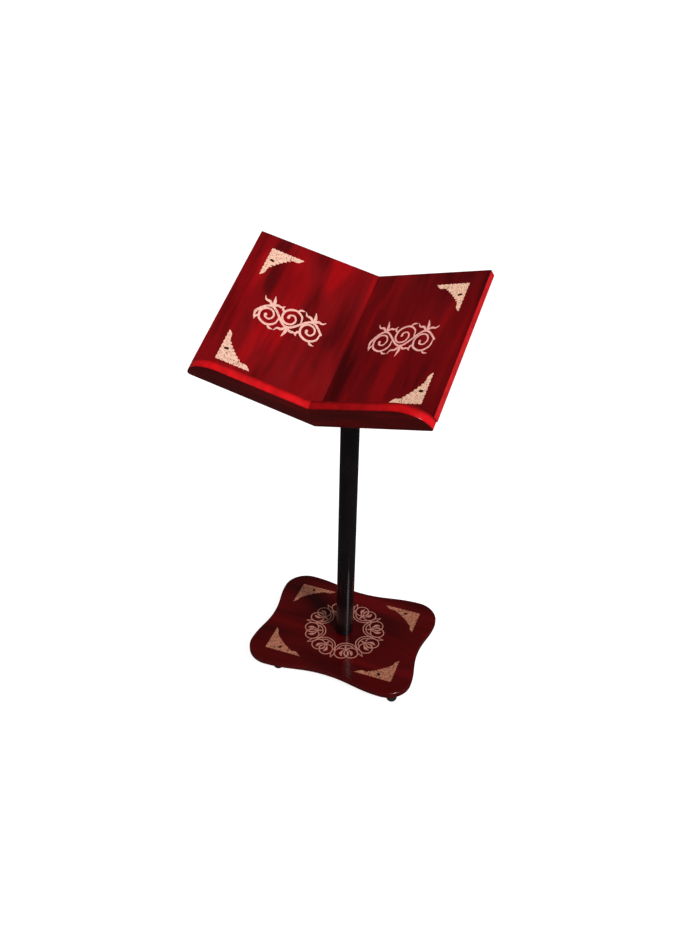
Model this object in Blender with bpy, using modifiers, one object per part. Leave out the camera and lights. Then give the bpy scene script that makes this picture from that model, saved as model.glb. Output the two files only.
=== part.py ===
"""Quran stand: an open-book board of two leaves on a tilting and turning head, a steel pole and a lobed base.

Metres, +Z up. The origin is on the floor under the middle of the stand's bounding box.
The base, the pole and the leaves are placed from the empties stand, swivel_axis, tilt_axis and the two
leaf frames. At rest the board leans at BOARD_TILT and is turned by BOARD_TURN on the pole.
"""

import math

import bmesh
import bpy
from mathutils import Matrix, Vector

GAP = 0.0003

# Where the pole stands in the frame, and how the board sits on it at rest.
POLE_X = 0.0029
POLE_Y = 0.0338
BOARD_TILT = math.radians(29.3)
BOARD_TURN = math.radians(-3.7)

# Base plate: a rectangle with four round lobes and hollowed sides.
FOOT_HEIGHT = 0.020
PLATE_THICKNESS = 0.012
PLATE_EDGE_RADIUS = 0.0025
LOBE_RADIUS = 0.044
LOBE_X = 0.1118
LOBE_Y = 0.0820
WAIST_X = 0.1455
WAIST_Y = 0.1125
PLATE_BOTTOM = FOOT_HEIGHT
PLATE_TOP = FOOT_HEIGHT + PLATE_THICKNESS

FOOT_PLACES = {
    "front_left": (-0.0926, -0.1025),
    "front_right": (0.1279, -0.1042),
    "back_left": (-0.112, 0.096),
    "back_right": (0.112, 0.096),
}
FOOT_RADIUS = 0.010

# Pole: a plain round tube, a plug in its foot and a bush in its head.
TUBE_RADIUS = 0.016
TUBE_WALL = 0.0015
TUBE_TOP = 0.5609
PLUG_LENGTH = 0.035
BUSH_LENGTH = 0.048
BUSH_RIM = 0.003
STEM_RADIUS = 0.0097
STEM_LENGTH = 0.045
BASE_BOLT_RADIUS = 0.005
SWIVEL_SCREW_BELOW_TOP = 0.025
SWIVEL_SCREW_RADIUS = 0.003

# Head: a tongue that stands between the two ears of the board's bracket.
SHOULDER_RADIUS = 0.017
SHOULDER_HEIGHT = 0.006
PIVOT_ABOVE_SHOULDER = 0.018
TONGUE_HALF = 0.010
TONGUE_RADIUS = 0.012
BUSH_TOP = TUBE_TOP + GAP + BUSH_RIM
SHOULDER_BOTTOM = BUSH_TOP + GAP
PIVOT_Z = SHOULDER_BOTTOM + SHOULDER_HEIGHT + PIVOT_ABOVE_SHOULDER
PIVOT_BOLT_RADIUS = 0.004

# Bracket and batten under the board, measured from the pivot: X across, Y up the slope, Z out of the board.
STEEL = 0.003
BRACKET_HALF_WIDTH = 0.025
BRACKET_HALF_LENGTH = 0.045
BRACKET_BOTTOM = 0.016
EAR_RADIUS = 0.013
BRACKET_SCREW_X = 0.018
BRACKET_SCREW_Y = 0.035
BATTEN_HALF_WIDTH = 0.030
BATTEN_HALF_LENGTH = 0.080
LEAF_SCREW_X = 0.022
LEAF_SCREW_Y = 0.065
COUNTERBORE = 0.004

# Board: two leaves that rise from the spine, each with a ledge across its lower end.
LEAF_RISE = math.radians(19.6)
LEAF_WIDTH = 0.200
BOARD_LENGTH = 0.277
LEAF_THICKNESS = 0.012
LEDGE_THICKNESS = 0.015
LEDGE_HEIGHT = 0.033
LEDGE_END_LENGTH = 0.048
LEDGE_END_DEPTH = 0.039
SPINE_ABOVE_PIVOT = 0.050
BOARD_BOTTOM = -0.1355
BOARD_TOP = BOARD_BOTTOM + BOARD_LENGTH
LEDGE_TOP = BOARD_BOTTOM + LEDGE_THICKNESS
# The leaves' top edges rise a little towards the spine.
TOP_EDGE_RISE = 0.005
DOWEL_RADIUS = 0.003
DOWEL_PLACES = (0.060, 0.145)
DOWEL_IN_LEDGE = 0.010
DOWEL_IN_LEAF = 0.012

# Wood screws, all of one size.
SCREW_RADIUS = 0.0019
SCREW_HEAD_RADIUS = 0.0039
SCREW_HEAD = 0.0024

COLOURS = {
    "lacquered_wood": ((0.150, 0.006, 0.010), 0.25, 0.0),
    "plain_wood": ((0.480, 0.300, 0.160), 0.70, 0.0),
    "black_tube": ((0.012, 0.012, 0.014), 0.35, 0.0),
    "black_steel": ((0.020, 0.020, 0.022), 0.45, 0.0),
    "zinc_steel": ((0.560, 0.560, 0.540), 0.35, 1.0),
    "black_plastic": ((0.018, 0.018, 0.018), 0.50, 0.0),
    "black_rubber": ((0.015, 0.015, 0.015), 0.80, 0.0),
}


def clear_scene():
    for obj in list(bpy.data.objects):
        bpy.data.objects.remove(obj)


def new_collection(name):
    made = bpy.data.collections.new(name)
    bpy.context.scene.collection.children.link(made)
    return made


def make_materials():
    made = {}
    for name, (colour, roughness, metallic) in COLOURS.items():
        material = bpy.data.materials.new(name)
        material.use_nodes = True
        shader = material.node_tree.nodes["Principled BSDF"]
        shader.inputs["Base Color"].default_value = (*colour, 1.0)
        shader.inputs["Roughness"].default_value = roughness
        shader.inputs["Metallic"].default_value = metallic
        made[name] = material
    return made


clear_scene()
PARTS = new_collection("quran_stand")
CUTTERS = new_collection("cutters")
MATERIALS = make_materials()


def empty(name, parent=None, location=(0, 0, 0), rotation=(0, 0, 0)):
    made = bpy.data.objects.new(name, None)
    made.location = location
    made.rotation_euler = rotation
    made.parent = parent
    PARTS.objects.link(made)
    return made


def add_part(name, mesh, finish, parent, location=(0, 0, 0), rotation=(0, 0, 0)):
    """One sub-part, in its finish. Each part has its own material, named for it."""
    material = MATERIALS[finish].copy()
    material.name = name + "_" + finish
    made = bpy.data.objects.new(name, mesh)
    made.location = location
    made.rotation_euler = rotation
    made.parent = parent
    if mesh.users == 1:
        mesh.materials.append(material)
    PARTS.objects.link(made)
    return made


def add_cutter(name, mesh, parent, location=(0, 0, 0), rotation=(0, 0, 0)):
    made = bpy.data.objects.new(name, mesh)
    made.location = location
    made.rotation_euler = rotation
    made.parent = parent
    made.hide_render = True
    made.display_type = "WIRE"
    CUTTERS.objects.link(made)
    return made


def mesh_from(bm, name):
    bmesh.ops.recalc_face_normals(bm, faces=bm.faces)
    mesh = bpy.data.meshes.new(name)
    bm.to_mesh(mesh)
    bm.free()
    return mesh


def box_mesh(name, low, high):
    bm = bmesh.new()
    bmesh.ops.create_cube(bm, size=1.0)
    size = Vector(high) - Vector(low)
    middle = (Vector(high) + Vector(low)) / 2
    bmesh.ops.scale(bm, vec=size, verts=bm.verts)
    bmesh.ops.translate(bm, vec=middle, verts=bm.verts)
    return mesh_from(bm, name)


def arc(centre, radii, start, end, steps):
    """Points on an ellipse's arc, angles in degrees."""
    points = []
    for step in range(steps + 1):
        angle = math.radians(start + (end - start) * step / steps)
        points.append((centre[0] + radii[0] * math.cos(angle), centre[1] + radii[1] * math.sin(angle)))
    return points


def turned(name, profile, finish, parent, steps=24, closed=False, **place):
    """A profile of (radius, height) turned round Z. It runs from the top down its outer side."""
    bm = bmesh.new()
    verts = [bm.verts.new((radius, 0, height)) for radius, height in profile]
    for first, second in zip(verts, verts[1:]):
        bm.edges.new((first, second))
    if closed:
        bm.edges.new((verts[-1], verts[0]))
    mesh = bpy.data.meshes.new(name)
    bm.to_mesh(mesh)
    bm.free()
    made = add_part(name, mesh, finish, parent, **place)
    turn = made.modifiers.new("turn", "SCREW")
    turn.axis = "Z"
    turn.steps = steps
    turn.render_steps = steps
    turn.use_merge_vertices = True
    turn.merge_threshold = 0.00002
    turn.use_smooth_shade = True
    return made


def mesh_of(obj):
    """The object's evaluated mesh, with loose caps welded. The object itself is removed."""
    bpy.context.view_layer.update()
    evaluated = obj.evaluated_get(bpy.context.evaluated_depsgraph_get())
    mesh = bpy.data.meshes.new_from_object(evaluated)
    bm = bmesh.new()
    bm.from_mesh(mesh)
    bmesh.ops.remove_doubles(bm, verts=bm.verts, dist=0.00001)
    bmesh.ops.recalc_face_normals(bm, faces=bm.faces)
    bm.to_mesh(mesh)
    bm.free()
    bpy.data.objects.remove(obj)
    return mesh


# Turns a mesh drawn in X and Y, thick along Z, to stand in the plane that the name says.
STAND_XZ = Matrix.Rotation(math.pi / 2, 4, "X")
STAND_YZ = Matrix(((0, 0, 1, 0), (1, 0, 0, 0), (0, 1, 0, 0), (0, 0, 0, 1)))


def flat_curve(name, thickness, edge, edge_steps):
    curve = bpy.data.curves.new(name, "CURVE")
    curve.dimensions = "2D"
    curve.fill_mode = "BOTH"
    curve.extrude = thickness / 2 - edge
    curve.bevel_depth = edge
    curve.bevel_resolution = edge_steps
    curve.offset = -edge
    return curve


def curve_mesh(curve, turn=None):
    guide = bpy.data.objects.new(curve.name, curve)
    CUTTERS.objects.link(guide)
    mesh = mesh_of(guide)
    if turn:
        mesh.transform(turn)
    return mesh


def outline_mesh(name, points, thickness, turn=None, edge=0.0, edge_steps=1):
    """A flat outline of straight runs and computed arcs, extruded to both sides of its plane."""
    curve = flat_curve(name, thickness, edge, edge_steps)
    spline = curve.splines.new("POLY")
    spline.points.add(len(points) - 1)
    for point, (x, y) in zip(spline.points, points):
        point.co = (x, y, 0, 1)
    spline.use_cyclic_u = True
    return curve_mesh(curve, turn)


def smooth(obj, angle=35):
    obj.data.shade_smooth()
    obj.data.set_sharp_from_angle(angle=math.radians(angle))


def combine(obj, other, operation):
    step = obj.modifiers.new(operation.lower(), "BOOLEAN")
    step.operation = operation
    step.object = other
    step.solver = "EXACT"


def drill(obj, radius, start, end, sides=16):
    """A round hole from start to end, in the frame of the object's parent."""
    start, end = Vector(start), Vector(end)
    bm = bmesh.new()
    bmesh.ops.create_cone(
        bm, cap_ends=True, segments=sides, radius1=radius, radius2=radius, depth=(end - start).length
    )
    half_side = Matrix.Rotation(math.pi / sides, 3, "Z")
    bmesh.ops.rotate(bm, matrix=half_side, verts=bm.verts)
    name = f"{obj.name}_hole_{len(obj.modifiers)}"
    cutter = add_cutter(name, mesh_from(bm, name), obj.parent, location=(start + end) / 2)
    cutter.rotation_euler = (end - start).to_track_quat("Z", "Y").to_euler()
    combine(obj, cutter, "DIFFERENCE")


def wood_screw_mesh(length):
    """A pan-head screw whose head rests on Z = 0 and whose shank runs up to length, with a cross in its head."""
    head = [(0, -SCREW_HEAD), (SCREW_HEAD_RADIUS * 0.7, -SCREW_HEAD)]
    profile = [
        (0, length),
        (SCREW_RADIUS * 0.4, length - SCREW_RADIUS),
        (SCREW_RADIUS, length - 2.5 * SCREW_RADIUS),
        (SCREW_RADIUS, 0),
        (SCREW_HEAD_RADIUS, 0),
        (SCREW_HEAD_RADIUS, -SCREW_HEAD * 0.5),
        *reversed(head),
    ]
    screw = turned("screw_blank", profile, "zinc_steel", None, steps=12)
    depth = SCREW_HEAD * 0.6
    for index, (across, along) in enumerate(((0.0022, 0.0005), (0.0005, 0.0022))):
        low = (-across, -along, -SCREW_HEAD - 0.001)
        high = (across, along, -SCREW_HEAD + depth)
        slot = add_cutter(f"screw_slot_{index}", box_mesh("screw_slot", low, high), None)
        combine(screw, slot, "DIFFERENCE")
    mesh = mesh_of(screw)
    mesh.name = f"wood_screw_{round(length * 1000)}"
    mesh.materials.clear()
    mesh.materials.append(MATERIALS["zinc_steel"])
    for slot in [o for o in CUTTERS.objects if o.name.startswith("screw_slot")]:
        bpy.data.objects.remove(slot)
    return mesh


def place_screw(name, mesh, parent, location):
    made = bpy.data.objects.new(name, mesh)
    made.location = location
    made.parent = parent
    PARTS.objects.link(made)


def knob_outline(radius, depth, lobes, steps_per_lobe=8):
    """A round grip whose rim swells into lobes."""
    points = []
    total = lobes * steps_per_lobe
    for step in range(total):
        angle = 2 * math.pi * step / total
        reach = radius - depth / 2 + depth / 2 * math.cos(lobes * angle)
        points.append((reach * math.cos(angle), reach * math.sin(angle)))
    return points


# Base ------------------------------------------------------------------------------------------------


def base_outline(curve):
    """Twelve knots: the middle of each side, and the two ends of each lobe's quarter circle."""
    round_handle = 0.5523 * LOBE_RADIUS
    side_x = 0.42 * LOBE_X
    side_y = 0.42 * LOBE_Y
    far_x = LOBE_X + LOBE_RADIUS
    far_y = LOBE_Y + LOBE_RADIUS
    # Each knot is its point, then the way round, then the handle lengths behind and ahead.
    knots = [
        ((WAIST_X, 0), (0, 1), side_y, side_y),
        ((far_x, LOBE_Y), (0, 1), side_y, round_handle),
        ((LOBE_X, far_y), (-1, 0), round_handle, side_x),
        ((0, WAIST_Y), (-1, 0), side_x, side_x),
        ((-LOBE_X, far_y), (-1, 0), side_x, round_handle),
        ((-far_x, LOBE_Y), (0, -1), round_handle, side_y),
    ]
    knots += [((-p[0], -p[1]), (-way[0], -way[1]), back, ahead) for p, way, back, ahead in knots]
    spline = curve.splines.new("BEZIER")
    spline.bezier_points.add(len(knots) - 1)
    for knot, (point, way, back, ahead) in zip(spline.bezier_points, knots):
        here = Vector((*point, 0))
        along = Vector((*way, 0))
        knot.handle_left_type = "FREE"
        knot.handle_right_type = "FREE"
        knot.co = here
        knot.handle_left = here - along * back
        knot.handle_right = here + along * ahead
    spline.use_cyclic_u = True
    spline.resolution_u = 8


def base_plate(stand):
    curve = flat_curve("base_plate", PLATE_THICKNESS, PLATE_EDGE_RADIUS, 2)
    base_outline(curve)
    middle = (PLATE_TOP + PLATE_BOTTOM) / 2
    plate = add_part("base_plate", curve_mesh(curve), "lacquered_wood", stand, location=(0, 0, middle))
    smooth(plate)
    drill(plate, BASE_BOLT_RADIUS + 2 * GAP, (0, 0, 0), (0, 0, PLATE_TOP + 0.01), 24)
    for x, y in FOOT_PLACES.values():
        drill(plate, SCREW_RADIUS + GAP, (x, y, 0), (x, y, FOOT_HEIGHT + 0.0068), 12)


def feet(stand):
    """Rubber buffers, each let in round its screw's head."""
    top = FOOT_HEIGHT - GAP
    seat = top / 2
    bore = SCREW_RADIUS + 2 * GAP
    recess = SCREW_HEAD_RADIUS + 0.001
    tread = FOOT_RADIUS * 0.72
    flank = arc((tread, 0.0035), (FOOT_RADIUS - tread, 0.0035), 0, -90, 4)
    profile = [(bore, top), (FOOT_RADIUS, top), *flank, (recess, 0), (recess, seat), (bore, seat)]
    screw = wood_screw_mesh(FOOT_HEIGHT - seat + 0.0065)
    for place, (x, y) in FOOT_PLACES.items():
        turned(f"foot_{place}", profile, "black_rubber", stand, closed=True, location=(x, y, 0))
        place_screw(f"foot_screw_{place}", screw, stand, (x, y, seat - GAP))


def base_fixing(stand):
    """A hexagon bolt and washer under the plate, and the threaded plug in the tube that they pull on."""
    washer_top = PLATE_BOTTOM - GAP
    washer_bottom = washer_top - 0.002
    bore = BASE_BOLT_RADIUS + 2 * GAP
    ring = [(bore, washer_top), (0.018, washer_top), (0.018, washer_bottom), (bore, washer_bottom)]
    turned("base_washer", ring, "zinc_steel", stand, closed=True)
    head_top = washer_bottom - GAP
    head_bottom = head_top - 0.0064
    bolt_end = PLATE_TOP + 0.026
    shank = [
        (0, bolt_end),
        (BASE_BOLT_RADIUS * 0.8, bolt_end),
        (BASE_BOLT_RADIUS, bolt_end - 0.001),
        (BASE_BOLT_RADIUS, head_top - 0.002),
        (0, head_top - 0.002),
    ]
    bolt = turned("base_bolt", shank, "zinc_steel", stand, steps=20)
    bm = bmesh.new()
    bmesh.ops.create_cone(
        bm, cap_ends=True, segments=6, radius1=0.0090, radius2=0.0098, depth=head_top - head_bottom
    )
    head = add_cutter("base_bolt_head", mesh_from(bm, "base_bolt_head"), stand)
    head.location = (0, 0, (head_top + head_bottom) / 2)
    combine(bolt, head, "UNION")

    plug_bottom = PLATE_TOP + GAP
    plug_top = plug_bottom + PLUG_LENGTH
    radius = TUBE_RADIUS - TUBE_WALL - GAP
    thread = BASE_BOLT_RADIUS + GAP
    roof = plug_top - 0.006
    plug = [(0, plug_top), (radius, plug_top), (radius, plug_bottom), (thread, plug_bottom), (thread, roof), (0, roof)]
    turned("pole_foot_plug", plug, "zinc_steel", stand, steps=32)


# Pole ------------------------------------------------------------------------------------------------


def pole(stand):
    inner = TUBE_RADIUS - TUBE_WALL
    bottom = PLATE_TOP + GAP
    wall = [(inner, TUBE_TOP), (TUBE_RADIUS, TUBE_TOP), (TUBE_RADIUS, bottom), (inner, bottom)]
    tube = turned("pole_tube", wall, "black_tube", stand, steps=48, closed=True)

    sleeve = inner - GAP
    bore = STEM_RADIUS + GAP
    rim = BUSH_TOP - BUSH_RIM
    foot = BUSH_TOP - BUSH_LENGTH
    outer = 0.018
    profile = [(bore, BUSH_TOP), (outer, BUSH_TOP), (outer, rim), (sleeve, rim), (sleeve, foot), (bore, foot)]
    bush = turned("pole_top_bush", profile, "black_plastic", stand, steps=32, closed=True)

    height = TUBE_TOP - SWIVEL_SCREW_BELOW_TOP
    for pierced in (tube, bush):
        drill(pierced, SWIVEL_SCREW_RADIUS + GAP, (0, 0, height), (0, 0.03, height), 16)


def swivel_screw(stand):
    """A fluted thumbscrew behind the pole, whose tip stops the head's stem from turning."""
    axis = empty("swivel_screw_axis", stand, (0, 0, TUBE_TOP - SWIVEL_SCREW_BELOW_TOP))
    tip = STEM_RADIUS + GAP
    collar = TUBE_RADIUS + 0.002
    grip = collar + 0.003
    end = grip + 0.013
    shank = [
        (0, end - 0.004),
        (0.0060, end - 0.004),
        (0.0060, collar),
        (SWIVEL_SCREW_RADIUS, collar),
        (SWIVEL_SCREW_RADIUS, tip + 0.001),
        (SWIVEL_SCREW_RADIUS - 0.001, tip),
        (0, tip),
    ]
    backwards = (-math.pi / 2, 0, 0)
    screw = turned("swivel_thumbscrew", shank, "black_plastic", axis, steps=16, rotation=backwards)
    points = knob_outline(0.0110, 0.0014, 10, 6)
    grip_mesh = outline_mesh("swivel_grip", points, end - grip, edge=0.001)
    grip_solid = add_cutter("swivel_grip", grip_mesh, axis, location=(0, (grip + end) / 2, 0))
    grip_solid.rotation_euler = backwards
    combine(screw, grip_solid, "UNION")


def pole_head(swivel):
    """Stem and shoulder turned in one, with the flat tongue that the bracket's ears hold."""
    profile = [
        (0, SHOULDER_BOTTOM + SHOULDER_HEIGHT),
        (SHOULDER_RADIUS, SHOULDER_BOTTOM + SHOULDER_HEIGHT),
        (SHOULDER_RADIUS, SHOULDER_BOTTOM),
        (STEM_RADIUS, SHOULDER_BOTTOM),
        (STEM_RADIUS, SHOULDER_BOTTOM - STEM_LENGTH + 0.001),
        (STEM_RADIUS - 0.001, SHOULDER_BOTTOM - STEM_LENGTH),
        (0, SHOULDER_BOTTOM - STEM_LENGTH),
    ]
    head = turned("pole_head", profile, "black_steel", swivel, steps=32)
    foot = SHOULDER_BOTTOM + SHOULDER_HEIGHT / 2
    crown = arc((0, PIVOT_Z), (TONGUE_RADIUS, TONGUE_RADIUS), 0, 180, 12)
    points = [(TONGUE_RADIUS, foot), *crown, (-TONGUE_RADIUS, foot)]
    tongue_mesh = outline_mesh("tongue", points, 2 * TONGUE_HALF, STAND_YZ)
    combine(head, add_cutter("tongue", tongue_mesh, swivel), "UNION")
    drill(head, PIVOT_BOLT_RADIUS + 2 * GAP, (-0.03, 0, PIVOT_Z), (0.03, 0, PIVOT_Z), 20)


# Tilt joint ------------------------------------------------------------------------------------------


def board_bracket(tilt):
    """A plate under the batten with two ears, one at each side of the tongue."""
    low = (-BRACKET_HALF_WIDTH, -BRACKET_HALF_LENGTH, BRACKET_BOTTOM)
    high = (BRACKET_HALF_WIDTH, BRACKET_HALF_LENGTH, BRACKET_BOTTOM + STEEL)
    bracket = add_part("board_bracket", box_mesh("board_bracket", low, high), "black_steel", tilt)
    inner = TONGUE_HALF + GAP
    top = BRACKET_BOTTOM + STEEL / 2
    points = [(-EAR_RADIUS, top), *arc((0, 0), (EAR_RADIUS, EAR_RADIUS), 180, 360, 12), (EAR_RADIUS, top)]
    for side, word in ((-1, "left"), (1, "right")):
        ear = outline_mesh(f"{word}_ear", points, STEEL, STAND_YZ)
        placed = add_cutter(f"{word}_ear", ear, tilt, location=(side * (inner + STEEL / 2), 0, 0))
        combine(bracket, placed, "UNION")
    drill(bracket, PIVOT_BOLT_RADIUS + 2 * GAP, (0, 0, 0), (0.03, 0, 0), 20)
    neck = PIVOT_BOLT_RADIUS + GAP
    square = box_mesh("neck_hole", (-0.03, -neck, -neck), (0, neck, neck))
    combine(bracket, add_cutter("neck_hole", square, tilt), "DIFFERENCE")
    for x in (-BRACKET_SCREW_X, BRACKET_SCREW_X):
        for y in (-BRACKET_SCREW_Y, BRACKET_SCREW_Y):
            drill(bracket, SCREW_RADIUS + GAP, (x, y, 0), (x, y, 0.03), 12)


def pivot_bolt(tilt):
    """A carriage bolt: a domed head at the left ear, a square neck in it, and a plain shank to the knob."""
    outside = TONGUE_HALF + GAP + STEEL + GAP
    end = outside + 0.0205
    dome = arc((0, -outside), (0.0085, 0.0050), 0, -90, 5)
    profile = [
        (0, end),
        (PIVOT_BOLT_RADIUS * 0.8, end),
        (PIVOT_BOLT_RADIUS, end - 0.001),
        (PIVOT_BOLT_RADIUS, -outside),
        *dome[:-1],
        (0, -outside - 0.0050),
    ]
    bolt = turned("pivot_bolt", profile, "zinc_steel", tilt, steps=20, rotation=(0, math.pi / 2, 0))
    half = PIVOT_BOLT_RADIUS
    neck = box_mesh("bolt_neck", (-outside - 0.0005, -half, -half), (-outside + STEEL, half, half))
    combine(bolt, add_cutter("bolt_neck", neck, tilt), "UNION")


def tilt_clamp(tilt):
    """The washer and the lobed knob on the bolt's right-hand end."""
    ear_face = TONGUE_HALF + GAP + STEEL
    bore = PIVOT_BOLT_RADIUS + GAP
    near = ear_face + GAP
    far = near + 0.0016
    along_x = (0, math.pi / 2, 0)
    ring = [(bore, far), (0.0085, far), (0.0085, near), (bore, near)]
    turned("tilt_washer", ring, "zinc_steel", tilt, closed=True, rotation=along_x)

    hub = far + GAP
    grip = hub + 0.011
    end = grip + 0.013
    roof = hub + 0.020
    profile = [(0, end - 0.002), (0.009, end - 0.002), (0.009, hub), (bore, hub), (bore, roof), (0, roof)]
    knob = turned("tilt_knob", profile, "black_plastic", tilt, steps=24, rotation=along_x)
    star = outline_mesh("knob_grip", knob_outline(0.0165, 0.0040, 6), end - grip, edge=0.002, edge_steps=1)
    bm = bmesh.new()
    bmesh.ops.create_cone(bm, cap_ends=True, segments=24, radius1=0.006, radius2=0.006, depth=0.02)
    core = add_cutter("knob_core", mesh_from(bm, "knob_core"), tilt, rotation=along_x)
    core.location = (roof - 0.010, 0, 0)
    grip_solid = add_cutter("knob_grip", star, tilt, location=((grip + end) / 2, 0, 0), rotation=along_x)
    combine(grip_solid, core, "DIFFERENCE")
    combine(knob, grip_solid, "UNION")


# Board -----------------------------------------------------------------------------------------------


def rise_at(x):
    """How far the leaves' underside is above the spine's, at a distance x from the spine."""
    return x * math.tan(LEAF_RISE)


UNDERSIDE = SPINE_ABOVE_PIVOT - LEAF_THICKNESS / math.cos(LEAF_RISE)


def spine_batten(tilt):
    """A hardwood block whose notched top carries the spine, with a flat underside for the bracket."""
    bottom = BRACKET_BOTTOM + STEEL + GAP
    top = UNDERSIDE - GAP
    side = top + rise_at(BATTEN_HALF_WIDTH)
    chamfer = 0.004
    points = [
        (-BATTEN_HALF_WIDTH + chamfer, bottom),
        (BATTEN_HALF_WIDTH - chamfer, bottom),
        (BATTEN_HALF_WIDTH, bottom + chamfer),
        (BATTEN_HALF_WIDTH, side),
        (0, top),
        (-BATTEN_HALF_WIDTH, side),
        (-BATTEN_HALF_WIDTH, bottom + chamfer),
    ]
    mesh = outline_mesh("spine_batten", points, 2 * BATTEN_HALF_LENGTH, STAND_XZ)
    batten = add_part("spine_batten", mesh, "lacquered_wood", tilt)
    for x in (-BRACKET_SCREW_X, BRACKET_SCREW_X):
        for y in (-BRACKET_SCREW_Y, BRACKET_SCREW_Y):
            drill(batten, SCREW_RADIUS + GAP, (x, y, 0), (x, y, bottom + 0.0135), 12)
    for x in (-LEAF_SCREW_X, LEAF_SCREW_X):
        for y in (-LEAF_SCREW_Y, LEAF_SCREW_Y):
            drill(batten, SCREW_HEAD_RADIUS + 2 * GAP, (x, y, 0), (x, y, bottom + COUNTERBORE), 16)
            drill(batten, SCREW_RADIUS + GAP, (x, y, 0), (x, y, 0.06), 12)


def bracket_screws(tilt):
    screw = wood_screw_mesh(STEEL + 0.0130)
    seat = BRACKET_BOTTOM - GAP
    places = [(side, end) for end in (-1, 1) for side in (-1, 1)]
    for number, (side, end) in enumerate(places, 1):
        at = (side * BRACKET_SCREW_X, end * BRACKET_SCREW_Y, seat)
        place_screw(f"bracket_screw_{number}", screw, tilt, at)


def leaf_screws(tilt):
    seat = BRACKET_BOTTOM + STEEL + COUNTERBORE
    tip = UNDERSIDE + rise_at(LEAF_SCREW_X) + 0.0075
    screw = wood_screw_mesh(tip - seat)
    for word, side in (("left", -1), ("right", 1)):
        for number, end in enumerate((-1, 1), 1):
            at = (side * LEAF_SCREW_X, end * LEAF_SCREW_Y, seat)
            place_screw(f"{word}_leaf_screw_{number}", screw, tilt, at)


def mitre(bm, side):
    """Cuts a leaf's or a ledge's inner end on the plane between the two halves."""
    outward = Vector((side * math.cos(LEAF_RISE), 0, -math.sin(LEAF_RISE)))
    everything = list(bm.verts) + list(bm.edges) + list(bm.faces)
    cut = bmesh.ops.bisect_plane(
        bm, geom=everything, dist=0.00001, plane_co=outward * GAP / 2, plane_no=outward, clear_inner=True
    )
    rim = [item for item in cut["geom_cut"] if isinstance(item, bmesh.types.BMEdge)]
    bmesh.ops.edgeloop_fill(bm, edges=rim)


def round_edges(bm, wanted, radius, steps):
    chosen = [edge for edge in bm.edges if wanted(*(vert.co for vert in edge.verts))]
    bmesh.ops.bevel(bm, geom=chosen, offset=radius, segments=steps, profile=0.5, affect="EDGES")


def leaf(word, side, frame):
    """A board, mitred at the spine, with a rounded corner and eased edges on its two free sides."""
    outer = side * LEAF_WIDTH
    inner = -side * 0.02
    low = (min(inner, outer), LEDGE_TOP + GAP, -LEAF_THICKNESS)
    high = (max(inner, outer), BOARD_TOP, 0)
    bm = bmesh.new()
    bm.from_mesh(box_mesh("leaf_blank", low, high))

    def top_edge(point):
        return BOARD_TOP + TOP_EDGE_RISE * (1 - side * point.x / LEAF_WIDTH)

    for vert in bm.verts:
        if vert.co.y > 0:
            vert.co.y = top_edge(vert.co)
    mitre(bm, side)

    def at_outer_end(point):
        return abs(point.x - outer) < 0.00001

    def at_top(point):
        return abs(point.y - top_edge(point)) < 0.00001

    def corner(a, b):
        return at_outer_end(a) and at_outer_end(b) and at_top(a) and at_top(b)

    def free_rim(a, b):
        flat = abs(a.z - b.z) < 0.00001
        on_side = at_outer_end(a) and at_outer_end(b)
        on_top = at_top(a) and at_top(b)
        near_corner = min(a.y, b.y) > BOARD_TOP - 0.005 and min(abs(a.x), abs(b.x)) > LEAF_WIDTH - 0.005
        return flat and (on_side or on_top or near_corner)

    round_edges(bm, corner, 0.002, 3)
    round_edges(bm, free_rim, 0.001, 2)
    board = add_part(f"{word}_leaf", mesh_from(bm, f"{word}_leaf"), "lacquered_wood", frame)
    smooth(board)
    for place in DOWEL_PLACES:
        x = side * place
        middle = -LEAF_THICKNESS / 2
        start = (x, LEDGE_TOP - 0.01, middle)
        drill(board, DOWEL_RADIUS + GAP, start, (x, LEDGE_TOP + DOWEL_IN_LEAF, middle), 12)
    # Pilot holes for the two screws that come up through the batten, upright in the board's own frame.
    for y in (-LEAF_SCREW_Y, LEAF_SCREW_Y):
        x = side * LEAF_SCREW_X
        tip = UNDERSIDE + rise_at(LEAF_SCREW_X) + 0.0078
        board_frame = Matrix.Translation((0, 0, SPINE_ABOVE_PIVOT)) @ Matrix.Rotation(-side * LEAF_RISE, 4, "Y")
        start = board_frame.inverted() @ Vector((x, y, 0.02))
        end = board_frame.inverted() @ Vector((x, y, tip))
        drill(board, SCREW_RADIUS + GAP, start, end, 12)


def ledge(word, side, frame):
    """A strip on edge across the leaf's lower end. Its outer end curves down to the leaf."""
    corner = 0.005
    drop = (LEAF_WIDTH - LEDGE_END_LENGTH, LEDGE_HEIGHT - LEDGE_END_DEPTH)
    shoulder = arc(drop, (LEDGE_END_LENGTH, LEDGE_END_DEPTH), 90, 0, 10)
    foot = arc((LEAF_WIDTH - corner, corner - LEAF_THICKNESS), (corner, corner), 0, -90, 3)
    points = [(-0.02, -LEAF_THICKNESS), (-0.02, LEDGE_HEIGHT), *shoulder, *foot]
    points = [(side * x, z) for x, z in points]
    mesh = outline_mesh(f"{word}_ledge", points, LEDGE_THICKNESS, STAND_XZ, edge=0.0012, edge_steps=1)
    mesh.transform(Matrix.Translation((0, BOARD_BOTTOM + LEDGE_THICKNESS / 2, 0)))
    bm = bmesh.new()
    bm.from_mesh(mesh)
    mitre(bm, side)
    strip = add_part(f"{word}_ledge", mesh_from(bm, f"{word}_ledge"), "lacquered_wood", frame)
    smooth(strip)
    for place in DOWEL_PLACES:
        x = side * place
        middle = -LEAF_THICKNESS / 2
        start = (x, LEDGE_TOP - DOWEL_IN_LEDGE - GAP, middle)
        drill(strip, DOWEL_RADIUS + GAP, start, (x, LEDGE_TOP + 0.01, middle), 12)


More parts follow.
